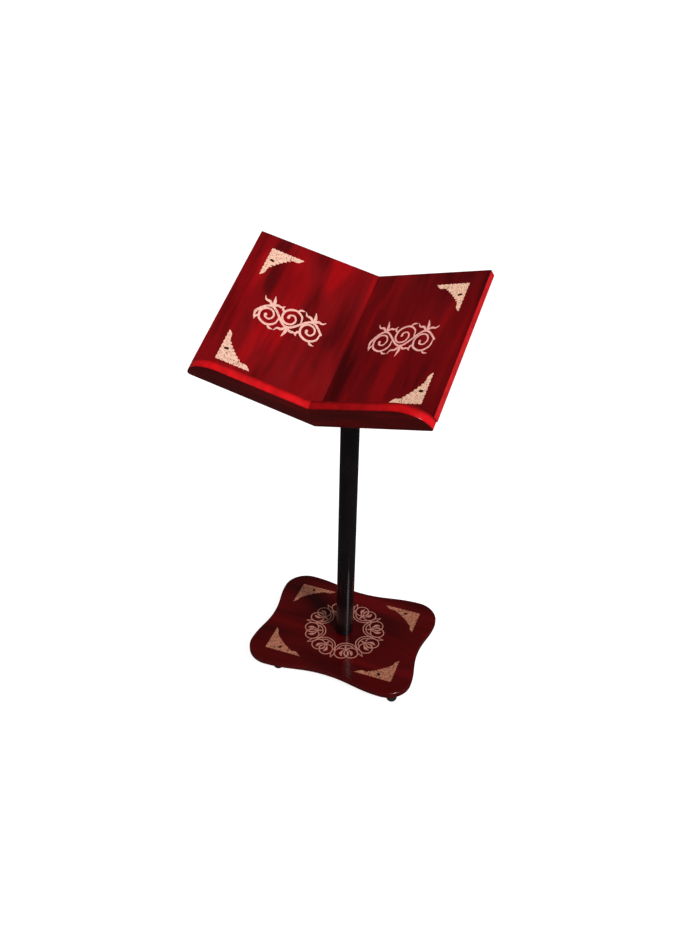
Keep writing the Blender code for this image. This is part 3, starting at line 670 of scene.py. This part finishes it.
def hinge_bolt():
    """A carriage bolt through the ears and the tongue."""
    shank = 0.0040
    rim = 0.0085
    dome_height = 0.0050
    outside = EAR_OUTSIDE + GAP
    end = outside + 0.0205
    dome = arc((0, -outside), (rim, dome_height), 0, -90, 12)
    profile = [(0, end), (shank, end), (shank, -outside), *dome[:-1], (0, -outside - dome_height)]
    bm = bmesh.new()
    lathe(bm, profile, 48)
    place = TILT @ ALONG_X
    add_piece("hinge_bolt", bm, ZINC, place, "board", ["pivot_bolt"])
    ring = tube(shank + GAP, rim, outside + TILT_WASHER, outside, 0.0004)
    turned("hinge_washer", ring, 56, ZINC, place, "board", "tilt_washer")


def tilt_lock_knob():
    """The six-lobed knob on the bolt's end that holds the lean of the board."""
    hub = EAR_OUTSIDE + GAP + TILT_WASHER + GAP
    grip = hub + 0.011
    end = grip + 0.013
    bore = 0.0043
    roof = hub + 0.020
    profile = [(0, end - 0.002), (0.009, end - 0.002), (0.009, hub), (bore, hub), (bore, roof), (0, roof)]
    bm = bmesh.new()
    lathe(bm, eased(profile, 0.0007, closed=False), 48)
    slab(bm, knob_outline(0.0165, 0.0040, 6), grip, end, 0.0026, 6)
    cap = [(0, end + 0.0001), (0.0072, end + 0.0001), (0.0084, end - 0.0008), (0, end - 0.0008)]
    lathe(bm, eased(cap, 0.0004, closed=False), 48)
    place = TILT @ ALONG_X
    add_piece("tilt_lock_knob", bm, PLASTIC_BLACK, place, "tilt_knob", ["tilt_knob"])


# --- Board ---

LEAF_WIDTH = 0.200
LEAF_THICKNESS = 0.012
LEDGE_HEIGHT = 0.033
LEDGE_END_LENGTH = 0.048
LEDGE_END_DEPTH = 0.039
BOARD_TOP = 0.1415
TOP_EDGE_RISE = 0.005
UNDERSIDE = SPINE_ABOVE_PIVOT - LEAF_THICKNESS / math.cos(LEAF_RISE)
# How far a half is drawn past the spine before its mitre is cut.
PAST_SPINE = 0.02


def spine_block():
    """The hardwood block whose notched top carries the spine."""
    half = 0.030
    half_length = 0.080
    bottom = BRACKET_BOTTOM + STEEL + GAP
    top = UNDERSIDE - GAP
    side = top + half * math.tan(LEAF_RISE)
    chamfer = 0.004
    points = [(-half + chamfer, bottom), (half - chamfer, bottom), (half, bottom + chamfer), (half, side)]
    points += [(0, top), (-half, side), (-half, bottom + chamfer)]
    bm = bmesh.new()
    slab(bm, points, -half_length, half_length, 0.0008, 3, STAND_XZ)
    add_piece("spine_block", bm, BATTEN_WOOD, TILT, "board", ["spine_batten"])


def board_screws():
    into_batten = 0.0130
    bracket_screw = screw_mesh("bracket_screw_fine", STEEL + into_batten)
    places = [(side * 0.018, end * 0.035) for end in (-1, 1) for side in (-1, 1)]
    for number, (x, y) in enumerate(places, 1):
        place = TILT @ shift(x, y, BRACKET_BOTTOM - GAP)
        nodes = [f"bracket_screw_{number}"]
        add_mesh(f"bracket_fixing_{number}", bracket_screw.copy(), place, "board", nodes)
    across, along = 0.022, 0.065
    into_leaf = 0.0075
    seat = BRACKET_BOTTOM + STEEL + 0.004
    tip = UNDERSIDE + across * math.tan(LEAF_RISE) + into_leaf
    leaf_screw = screw_mesh("leaf_screw_fine", tip - seat)
    for word, side in SIDES:
        for number, end in enumerate((-1, 1), 1):
            place = TILT @ shift(side * across, end * along, seat)
            nodes = [f"{word}_leaf_screw_{number}"]
            add_mesh(f"{word}_leaf_fixing_{number}", leaf_screw.copy(), place, "board", nodes)


def mitre(bm, side):
    """Cuts a leaf's or a ledge's inner end on the plane between the two halves."""
    outward = Vector((side * math.cos(LEAF_RISE), 0, -math.sin(LEAF_RISE)))
    everything = list(bm.verts) + list(bm.edges) + list(bm.faces)
    cut = bmesh.ops.bisect_plane(
        bm, geom=everything, dist=0.00001, plane_co=outward * GAP / 2, plane_no=outward, clear_inner=True
    )
    rim = [item for item in cut["geom_cut"] if isinstance(item, bmesh.types.BMEdge)]
    bmesh.ops.edgeloop_fill(bm, edges=rim)


def round_edges(bm, wanted, radius, steps):
    chosen = [edge for edge in bm.edges if wanted(*(vert.co for vert in edge.verts))]
    bmesh.ops.bevel(bm, geom=chosen, offset=radius, segments=steps, profile=0.5, affect="EDGES")


def leaf_board(word, side, wood):
    """A leaf with a rounded outer corner, eased free edges and a sharp mitre at the spine."""
    outer = side * LEAF_WIDTH
    inner = -side * PAST_SPINE
    low = Vector((min(inner, outer), LEDGE_TOP + GAP, -LEAF_THICKNESS))
    high = Vector((max(inner, outer), BOARD_TOP, 0))
    bm = bmesh.new()
    bmesh.ops.create_cube(bm, size=1.0)
    bmesh.ops.scale(bm, vec=high - low, verts=bm.verts)
    bmesh.ops.translate(bm, vec=(high + low) / 2, verts=bm.verts)

    def top_edge(point):
        return BOARD_TOP + TOP_EDGE_RISE * (1 - side * point.x / LEAF_WIDTH)

    for vert in bm.verts:
        if vert.co.y > 0:
            vert.co.y = top_edge(vert.co)
    mitre(bm, side)

    def at_outer_end(point):
        return abs(point.x - outer) < 0.00001

    def at_top(point):
        return abs(point.y - top_edge(point)) < 0.00001

    def corner(a, b):
        return at_outer_end(a) and at_outer_end(b) and at_top(a) and at_top(b)

    def free_rim(a, b):
        flat = abs(a.z - b.z) < 0.00001
        on_side = at_outer_end(a) and at_outer_end(b)
        on_top = at_top(a) and at_top(b)
        near_corner = min(a.y, b.y) > BOARD_TOP - 0.005 and min(abs(a.x), abs(b.x)) > LEAF_WIDTH - 0.005
        return flat and (on_side or on_top or near_corner)

    round_edges(bm, corner, 0.002, 8)
    round_edges(bm, free_rim, 0.001, 5)
    add_piece(f"{word}_page_board", bm, wood, leaf_frame(side), "board", [f"{word}_leaf"])


def ledge_strip(word, side, wood):
    """The strip on edge across the leaf's lower end, whose outer end curves down to the leaf."""
    corner = 0.005
    drop = (LEAF_WIDTH - LEDGE_END_LENGTH, LEDGE_HEIGHT - LEDGE_END_DEPTH)
    shoulder = arc(drop, (LEDGE_END_LENGTH, LEDGE_END_DEPTH), 90, 0, 40)
    foot = arc((LEAF_WIDTH - corner, corner - LEAF_THICKNESS), (corner, corner), 0, -90, 8)
    points = [(-PAST_SPINE, -LEAF_THICKNESS), (-PAST_SPINE, LEDGE_HEIGHT), *shoulder, *foot]
    points = [(side * x, z) for x, z in points]
    if side > 0:
        points.reverse()
    half = LEDGE_THICKNESS / 2
    turn = shift(0, BOARD_BOTTOM + half, 0) @ STAND_XZ
    bm = bmesh.new()
    slab(bm, points, -half, half, 0.0012, 5, turn)
    mitre(bm, side)
    nodes = [f"{word}_ledge"]
    add_piece(f"{word}_book_ledge", bm, wood, leaf_frame(side), "board", nodes)


# --- Ornaments ---

PRINT_HEIGHT = 0.00015
PRINT_DEPTH = 0.00005


def curve_through(points, steps):
    """A smooth line through the points. Each is (x, y, half width)."""
    rows = [np.array(p, float) for p in points]
    rows = [2 * rows[0] - rows[1], *rows, 2 * rows[-1] - rows[-2]]
    line = []
    for a, b, c, d in zip(rows, rows[1:], rows[2:], rows[3:]):
        for step in range(steps):
            t = step / steps
            cubic = (3 * b - a - 3 * c + d) * t**3 + (2 * a - 5 * b + 4 * c - d) * t**2
            line.append((cubic + (c - a) * t + 2 * b) / 2)
    line.append(rows[-2])
    return line


class Stencil:
    """A flat ornament as a field over a grid, in millimetres: positive inside, by about its depth."""

    def __init__(self, low, high, step):
        self.low = np.array(low)
        self.step = step
        xs = low[0] + step * np.arange(int((high[0] - low[0]) / step) + 1)
        ys = low[1] + step * np.arange(int((high[1] - low[1]) / step) + 1)
        self.x, self.y = np.meshgrid(xs, ys)
        self.field = np.full(self.x.shape, -5.0)

    def window(self, low, high):
        rows, columns = self.field.shape
        i = np.clip(((low - self.low) / self.step).astype(int) - 2, 0, (columns, rows))
        j = np.clip(((high - self.low) / self.step).astype(int) + 3, 0, (columns, rows))
        return slice(i[1], j[1]), slice(i[0], j[0])

    def capsule(self, a, b, cut):
        reach = max(a[2], b[2]) + 1.0
        near = self.window(np.minimum(a, b)[:2] - reach, np.maximum(a, b)[:2] + reach)
        x, y = self.x[near], self.y[near]
        run = (b[0] - a[0], b[1] - a[1])
        span = max(1e-9, run[0] ** 2 + run[1] ** 2)
        t = np.clip(((x - a[0]) * run[0] + (y - a[1]) * run[1]) / span, 0, 1)
        depth = a[2] + t * (b[2] - a[2]) - np.hypot(x - a[0] - t * run[0], y - a[1] - t * run[1])
        field = self.field[near]
        self.field[near] = np.minimum(field, -depth) if cut else np.maximum(field, depth)

    def stroke(self, line, cut=False):
        for a, b in zip(line, line[1:]):
            self.capsule(a, b, cut)

    def curve(self, points, turn=None, steps=10):
        """A stroke along a smooth line, moved by turn, which takes and gives (x, y)."""
        line = curve_through(points, steps)
        if turn:
            line = [(*turn(p[0], p[1]), p[2]) for p in line]
        self.stroke(line)

    def depth(self, x, y):
        """The field at the grid point nearest to (x, y)."""
        rows, columns = self.field.shape
        column, row = np.round(((x, y) - self.low) / self.step).astype(int)
        return self.field[np.clip(row, 0, rows - 1), np.clip(column, 0, columns - 1)]

    def loops(self):
        """The closed lines where the field is zero, with the inside on their left."""
        inside = self.field > 0
        kind = inside[:-1, :-1] * 1 + inside[:-1, 1:] * 2 + inside[1:, 1:] * 4 + inside[1:, :-1] * 8
        # Cell sides: 0 below, 1 right, 2 above, 3 left. Each pair runs with the inside on its left.
        runs = {
            1: [(0, 3)], 2: [(1, 0)], 3: [(1, 3)], 4: [(2, 1)], 5: [(0, 3), (2, 1)], 6: [(2, 0)],
            7: [(2, 3)], 8: [(3, 2)], 9: [(0, 2)], 10: [(1, 0), (3, 2)], 11: [(1, 2)], 12: [(3, 1)],
            13: [(0, 1)], 14: [(3, 0)],
        }
        ahead = {}
        for row, column in zip(*np.nonzero((kind > 0) & (kind < 15))):
            row, column = int(row), int(column)
            sides = ((0, row, column), (1, row, column + 1), (0, row + 1, column), (1, row, column))
            for start, end in runs[int(kind[row, column])]:
                ahead[sides[start]] = sides[end]
        found = []
        while ahead:
            start = next(iter(ahead))
            loop = []
            at = start
            while at in ahead:
                loop.append(self.crossing(*at))
                at = ahead.pop(at)
            found.append(np.array(loop))
        return found

    def crossing(self, upright, row, column):
        a = self.field[row, column]
        b = self.field[row + upright, column + 1 - upright]
        t = a / (a - b)
        x = self.low[0] + self.step * (column + t * (1 - upright))
        y = self.low[1] + self.step * (row + t * upright)
        return (x, y)


def thinned(loop, slack):
    """The loop without the points that lie within slack of the line between their neighbours."""
    keep = np.zeros(len(loop), bool)
    far = int(np.argmax(np.hypot(*(loop - loop[0]).T)))
    keep[[0, far]] = True
    closed = np.vstack([loop, loop[:1]])
    waiting = [(0, far), (far, len(loop))]
    while waiting:
        start, end = waiting.pop()
        if end - start < 2:
            continue
        run = closed[end] - closed[start]
        off = closed[start + 1 : end] - closed[start]
        away = np.abs(run[0] * off[:, 1] - run[1] * off[:, 0]) / max(1e-9, float(np.hypot(*run)))
        worst = int(np.argmax(away))
        if away[worst] > slack:
            middle = start + 1 + worst
            keep[middle] = True
            waiting += [(start, middle), (middle, end)]
    return loop[keep]


def within(points, loops):
    """Which points lie inside an odd number of the loops."""
    odd = np.zeros(len(points), bool)
    x, y = points[:, 0, None], points[:, 1, None]
    for loop in loops:
        a, b = loop, np.roll(loop, -1, axis=0)
        spans = (a[None, :, 1] > y) != (b[None, :, 1] > y)
        rise = b[None, :, 1] - a[None, :, 1]
        rise = np.where(np.abs(rise) < 1e-12, 1e-12, rise)
        cross = a[None, :, 0] + (y - a[None, :, 1]) * (b[None, :, 0] - a[None, :, 0]) / rise
        odd ^= (np.sum(spans & (x < cross), axis=1) % 2).astype(bool)
    return odd


def print_piece(name, stencil, material, place, body):
    """The stencil's shape as a thin solid on the plane Z = 0 of place, drawn in millimetres."""
    slack = 0.03
    speck = 8
    loops = [thinned(loop, slack) for loop in stencil.loops() if len(loop) > speck]
    loops = [loop for loop in loops if len(loop) > 3]
    points = np.vstack(loops)
    edges = []
    start = 0
    for loop in loops:
        count = len(loop)
        edges += [(start + i, start + (i + 1) % count) for i in range(count)]
        start += count
    flat = [Vector(p) for p in points]
    verts, _, faces, _, _, _ = delaunay_2d_cdt(flat, edges, [], 0, 1e-6)
    spots = np.array([np.mean([verts[i] for i in face], axis=0) for face in faces])
    chosen = [face for face, good in zip(faces, within(spots, loops)) if good]
    bm = bmesh.new()
    top = [bm.verts.new((v.x * MM, v.y * MM, PRINT_HEIGHT)) for v in verts]
    below = [bm.verts.new((v.x * MM, v.y * MM, -PRINT_DEPTH)) for v in verts]
    sides = {}
    for face in chosen:
        bm.faces.new([top[i] for i in face])
        bm.faces.new([below[i] for i in reversed(face)])
        for a, b in zip(face, (*face[1:], face[0])):
            if (b, a) in sides:
                del sides[(b, a)]
            else:
                sides[(a, b)] = True
    for a, b in sides:
        bm.faces.new((top[b], top[a], below[a], below[b]))
    loose = [vert for vert in bm.verts if not vert.link_faces]
    bmesh.ops.delete(bm, geom=loose, context="VERTS")
    add_piece(name, bm, material, place, body)


def corner_stencil(run, rise, eye, seed):
    """A pierced, scalloped corner piece. Its legs lie along X for run and along Y for rise."""
    draw = Stencil((-2.0, -2.0), (run + 3, rise + 3), 0.3)
    x, y = draw.x, draw.y
    # The hollow side sags towards the corner, more so for a smaller bend. Its depth is taken square to it.
    bend = 0.76
    flattest = 0.008
    p = np.clip(x / run, 1e-3, None)
    q = np.clip(y / rise, 1e-3, None)
    hollow = 1 - p**bend - q**bend
    slope_y, slope_x = np.gradient(hollow, draw.step)
    inner = hollow / np.maximum(flattest, np.hypot(slope_x, slope_y))
    along = math.pi * (x - y * run / rise)
    inner = inner + 2.1 * np.abs(np.sin(along / 9.0)) + 0.6 * np.abs(np.sin(along / 3.1)) - 1.2

    def scalloped(depth, way):
        """The depth from a straight side, with wide scallops and small teeth along it."""
        scallops = 1.1 * np.abs(np.sin(math.pi * way / 7.1))
        teeth = 0.35 * np.sin(math.pi * way / 1.9)
        return depth - 1.1 + scallops + teeth

    draw.field = np.minimum(inner, np.minimum(scalloped(y, x), scalloped(x, y)))
    # The leaf-shaped tips.
    draw.curve([(run * 0.72, 4.8, 2.6), (run * 0.83, 4.6, 3.9), (run * 0.93, 2.8, 2.1), (run, 0.8, 0.5)])
    draw.curve(
        [(4.6, rise * 0.70, 3.0), (4.0, rise * 0.85, 3.2), (2.6, rise * 0.94, 1.8), (0.8, rise, 0.5)]
    )
    # The eye, the slit that parts the tip leaf from the body, and the nicks at the hollow side.
    draw.stroke(eye_stroke(eye, 0.35), cut=True)
    slit = run * 0.635
    draw.stroke([(slit - 1.2, 2.2, 0.45), (slit + 0.2, 5.5, 0.45), (slit - 0.4, 10.0, 0.7)], cut=True)
    for share in (0.36, 0.45):
        tip = (run * share, rise * (0.80 - share) * 1.08)
        draw.stroke([(tip[0], tip[1], 0.45), (tip[0] + 2.2, tip[1] + 3.6, 1.0)], cut=True)
    # Small piercings on arcs round the corner.
    chance = np.random.default_rng(seed)
    for radius in np.arange(5.5, 45, 4.6):
        count = int(radius * math.pi / 2 / 4.4)
        for step in range(count):
            angle = math.pi / 2 * (step + 0.5) / count + chance.uniform(-0.06, 0.06)
            size = chance.uniform(0.34, 0.66)
            lean = angle + chance.uniform(0.5, 2.6)
            reach = chance.uniform(0.2, 1.2)
            at_x, at_y = radius * math.cos(angle), radius * math.sin(angle)
            if draw.depth(at_x, at_y) < 1.7:
                continue
            step_x, step_y = reach * math.cos(lean), reach * math.sin(lean)
            ends = [(at_x - step_x, at_y - step_y, size), (at_x + step_x, at_y + step_y, size * 0.7)]
            draw.stroke(ends, cut=True)
    return draw


def eye_stroke(eye, margin=0.0):
    """The eye's two ends. eye is its middle, its half run along X and Y, and its half width."""
    x, y, long_x, long_y, half = eye
    return [(x - long_x, y - long_y, half + margin), (x + long_x, y + long_y, half + margin)]


def eye_stencil(eye):
    draw = Stencil((eye[0] - 8, eye[1] - 8), (eye[0] + 8, eye[1] + 8), 0.3)
    draw.stroke(eye_stroke(eye))
    return draw


def scroll_stencil(width, height, weight):
    """A running vine, width by height: a wave with a volute in each bend. It says nothing.

    weight scales the thickness of its strokes."""
    draw = Stencil((-width / 2 - 3, -height / 2 - 3), (width / 2 + 3, height / 2 + 3), 0.3)
    wide = width / 104.0
    tall = height / 58.0
    swing = 11.0
    half_wave = 32.0
    stem = [(x, swing * math.cos(math.pi * x / half_wave + math.pi), 1.9) for x in range(-46, 51, 4)]
    volute = [
        (17, 1, 1.0), (14.5, 13, 1.6), (3, 19, 1.9), (-9.5, 13.5, 1.9), (-12, 2, 1.8), (-5, -5.5, 1.7),
        (4.5, -4.5, 1.6), (8.5, 3, 1.5), (4.5, 9.5, 1.4), (-2, 8.5, 1.6), (-3, 4.5, 2.5),
    ]
    leaves = [
        # The three leaves outside a bend.
        [(0, -11, 1.2), (-5, -17, 2.3), (-11.5, -18, 1.6), (-15, -23, 0.5)],
        [(0.5, -11, 1.2), (1.5, -18, 2.7), (-1, -27.5, 0.5)],
        [(1, -11, 1.2), (7, -15.5, 2.2), (13.5, -15, 1.5), (18, -18.5, 0.5)],
        # The spur on the volute's back, and the leaf between its windings.
        [(6, 19.5, 0.8), (9.5, 22.5, 1.9), (15, 23, 0.5)],
        [(-10.5, 9, 0.7), (-15, 12.5, 1.8), (-16, 18, 0.5)],
    ]
    outer_leaf = [(-45, 2.5, 1.9), (-50, -5, 2.3), (-49.5, -15, 0.5)]

    def draw_line(line, middle=0, side=1):
        weighted = [(x, y, half * weight) for x, y, half in line]
        draw.curve(weighted, lambda x, y: ((middle + x) * wide, side * y * tall))

    for line in (stem, outer_leaf):
        draw_line(line)
    for middle, side in ((-half_wave, -1), (0, 1), (half_wave, -1)):
        for line in [volute, *leaves]:
            draw_line(line, middle, side)
    return draw


def ring_stencil():
    """The wreath round the pole's foot: eight lobed flowers joined by pointed loops."""
    draw = Stencil((-79, -79), (79, 79), 0.36)
    thin = 0.95
    turns = [math.radians(angle) for angle in range(0, 361, 12)]
    lines = [
        # The leaf in the lobe, with its stalk.
        [(3.5, 52.5, 0.7), (7.5, 57, 1.4), (9.8, 62, 2.7), (9.2, 68.5, 0.6)],
        [(2, 56, 0.7), (4.5, 62, 0.9), (3.2, 67.5, 0.6)],
        # The two lines of the arch towards the pole.
        [(0, 35.6, thin), (8, 37, thin), (15.5, 42.5, thin), (20.3, 51.5, thin), (20.6, 57, 0.7)],
        [(0, 41.0, thin), (6.5, 42, thin), (12, 46, thin), (15.2, 51, 0.8)],
        # The bud between the lobes.
        [(0, 43.5, 0.6), (0, 47, 1.7), (0, 51.5, 0.6)],
    ]
    loop = [(0, 54, 0.7), (2.9, 60, 0.85), (3.1, 67, 0.85), (0, 77, 0.6)]
    for number in range(8):
        middle = math.radians(-67.5 + 45 * number)
        between = middle + math.radians(22.5)
        for side in (-1, 1):
            lobe = [(side * 9.3 + 12.4 * math.cos(a), 61.5 + 12.6 * math.sin(a), thin) for a in turns]
            draw.curve(lobe, round_the_pole(middle, 1), steps=2)
            for line in lines:
                draw.curve(line, round_the_pole(middle, side))
            draw.curve(loop, round_the_pole(between, side))
    return draw


def round_the_pole(angle, side):
    """Turns Y to point away from the pole at this angle, with X mirrored when side is -1."""
    sine, cosine = math.sin(angle), math.cos(angle)

    def turn(x, y):
        return y * cosine - side * x * sine, side * x * cosine + y * sine

    return turn


# A corner piece's run, rise, eye and seed. The eye is as eye_stroke takes it.
LEAF_EYE = (9.0, 22.0, 1.8, 0.25, 1.8)
BASE_EYE = (26.0, 10.0, 0.6, 0.9, 2.5)
LEAF_CORNER = (54.0, 53.0, LEAF_EYE, 11)
BASE_CORNER = (67.5, 53.7, BASE_EYE, 23)
# Where the corner pieces' own corners stand. On a leaf that is from the spine, and up from the board's
# lower end. On the base it is from the pole.
LEAF_CORNER_X = 0.172
LEAF_CORNER_LEVELS = (("top", 0.254, -1), ("bottom", 0.036, 1))
BASE_CORNER_X = 0.122
BASE_CORNER_Y = 0.0954
# Each vine's middle on its leaf, its width and height in millimetres, and the weight of its strokes.
VINES = {"left": (0.097, 0.143, 110.0, 64.0, 0.95), "right": (0.095, 0.1525, 114.0, 70.0, 0.8)}


def corner_prints(name, corner, ink, place, body):
    print_piece(f"{name}_print", corner_stencil(*corner), ink, place, body)
    print_piece(f"{name}_eye_print", eye_stencil(corner[2]), EYE_PRINT, place, body)


def leaf_ornaments():
    """Two corner pieces and a vine on each leaf."""
    for word, side in SIDES:
        for end, level, up in LEAF_CORNER_LEVELS:
            # X of the stencil runs to the spine, Y along the leaf's outer edge.
            at = shift(side * LEAF_CORNER_X, BOARD_BOTTOM + level, 0)
            place = leaf_frame(side) @ at @ Matrix.Diagonal((-side, up, 1, 1))
            corner_prints(f"{word}_{end}_corner", LEAF_CORNER, LEAF_PRINTS[word], place, "board")
    for word, side in SIDES:
        across, level, width, height, weight = VINES[word]
        place = leaf_frame(side) @ shift(side * across, BOARD_BOTTOM + level, 0)
        stencil = scroll_stencil(width, height, weight)
        print_piece(f"{word}_scroll_print", stencil, SCROLL_PRINTS[word], place, "board")


def base_ornaments():
    top = STAND @ shift(0, 0, PLATE_TOP)
    for word, across in SIDES:
        for end, along in (("front", -1), ("back", 1)):
            at = shift(across * BASE_CORNER_X, along * BASE_CORNER_Y, 0)
            place = top @ at @ Matrix.Diagonal((-across, -along, 1, 1))
            corner_prints(f"base_{end}_{word}", BASE_CORNER, BASE_PRINT, place, "base")
    print_piece("base_wreath_print", ring_stencil(), RING_PRINT, top, "base")


# --- Scene ---


def hidden_nodes():
    """The dowels and the plug keep their CAD shapes inside the wood and the tube. Both get a finish."""
    for name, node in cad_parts.items():
        inside = BEECH if "dowel" in name else ZINC
        node.data.materials.clear()
        node.data.materials.append(inside)


def studio():
    floor_mesh = bpy.data.meshes.new("studio_floor")
    reach = 40.0
    corners = [(-reach, -reach, 0), (reach, -reach, 0), (reach, reach, 0), (-reach, reach, 0)]
    floor_mesh.from_pydata(corners, [], [(0, 1, 2, 3)])
    floor = placed("studio_floor", floor_mesh)
    paper = Finish("studio_paper", 0.9, Specular_IOR_Level=0.0)
    paper.shader.inputs["Base Color"].default_value = rgb(0.3, 0.3, 0.3)
    paper.shader.inputs["Emission Color"].default_value = rgb(1, 1, 1)
    paper.shader.inputs["Emission Strength"].default_value = 0.9
    floor_mesh.materials.append(paper.material)
    floor.visible_glossy = False

    sun_data = bpy.data.lights.new("key_light", "SUN")
    sun_data.energy = 3.2
    sun_data.angle = math.radians(15)
    sun = placed("key_light", sun_data)
    azimuth = math.radians(55)
    elevation = math.radians(43)
    low = math.cos(elevation)
    towards = Vector((math.sin(azimuth) * low, -math.cos(azimuth) * low, math.sin(elevation)))
    sun.rotation_euler = towards.to_track_quat("Z", "Y").to_euler()

    world = bpy.data.worlds.new("studio_air")
    world.use_nodes = True
    tree = world.node_tree
    rays = tree.nodes.new("ShaderNodeLightPath")
    air = tree.nodes["Background"]
    air.inputs["Strength"].default_value = 0.35
    # The room is dark to a mirror, as behind black flags, and pale to the eye.
    for strength, kind in ((0.045, "Is Glossy Ray"), (1.0, "Is Camera Ray")):
        other = tree.nodes.new("ShaderNodeBackground")
        other.inputs["Strength"].default_value = strength
        other.inputs["Color"].default_value = rgb(1, 1, 1)
        choose = tree.nodes.new("ShaderNodeMixShader")
        for number, output in enumerate((rays.outputs[kind], air.outputs[0], other.outputs[0])):
            tree.links.new(output, choose.inputs[number])
        air = choose
    tree.nodes["Background"].inputs["Color"].default_value = rgb(1, 1, 1)
    tree.links.new(air.outputs[0], tree.nodes["World Output"].inputs["Surface"])
    SCENE.world = world
    SCENE.view_settings.view_transform = "Standard"


def camera():
    """The photo's view: the turn about Z, the dip under the horizon and the roll, all in radians."""
    turn, dip, roll = -0.338, 0.580, 0.0228
    right = Vector((math.cos(turn), -math.sin(turn), 0))
    ahead = Vector((math.sin(turn) * math.cos(dip), math.cos(turn) * math.cos(dip), -math.sin(dip)))
    up = right.cross(ahead)
    side = right * math.cos(roll) + up * math.sin(roll)
    top = up * math.cos(roll) - right * math.sin(roll)
    data = bpy.data.cameras.new("camera")
    data.sensor_width = 36.0
    data.lens = 34.95
    data.dof.use_dof = False
    data.clip_end = 200.0
    place = Matrix((side, top, -ahead)).transposed().to_4x4()
    place.translation = (0.4136, -1.1703, 1.2371)
    SCENE.camera = placed("camera", data)
    SCENE.camera.matrix_world = place


def boards():
    woods = ((LEFT_WOOD, LEFT_LEDGE_WOOD), (RIGHT_WOOD, RIGHT_LEDGE_WOOD))
    for (word, side), (leaf_wood, ledge_wood) in zip(SIDES, woods):
        leaf_board(word, side, leaf_wood)
        ledge_strip(word, side, ledge_wood)


STEPS = (
    camera, studio, hidden_nodes, base_board, feet, base_fixing, pole_shaft, pole_cap, swivel_thumbscrew,
    tilt_head, hinge_bracket, hinge_bolt, tilt_lock_knob, spine_block, board_screws, boards,
    leaf_ornaments, base_ornaments,
)
for make in STEPS:
    make()
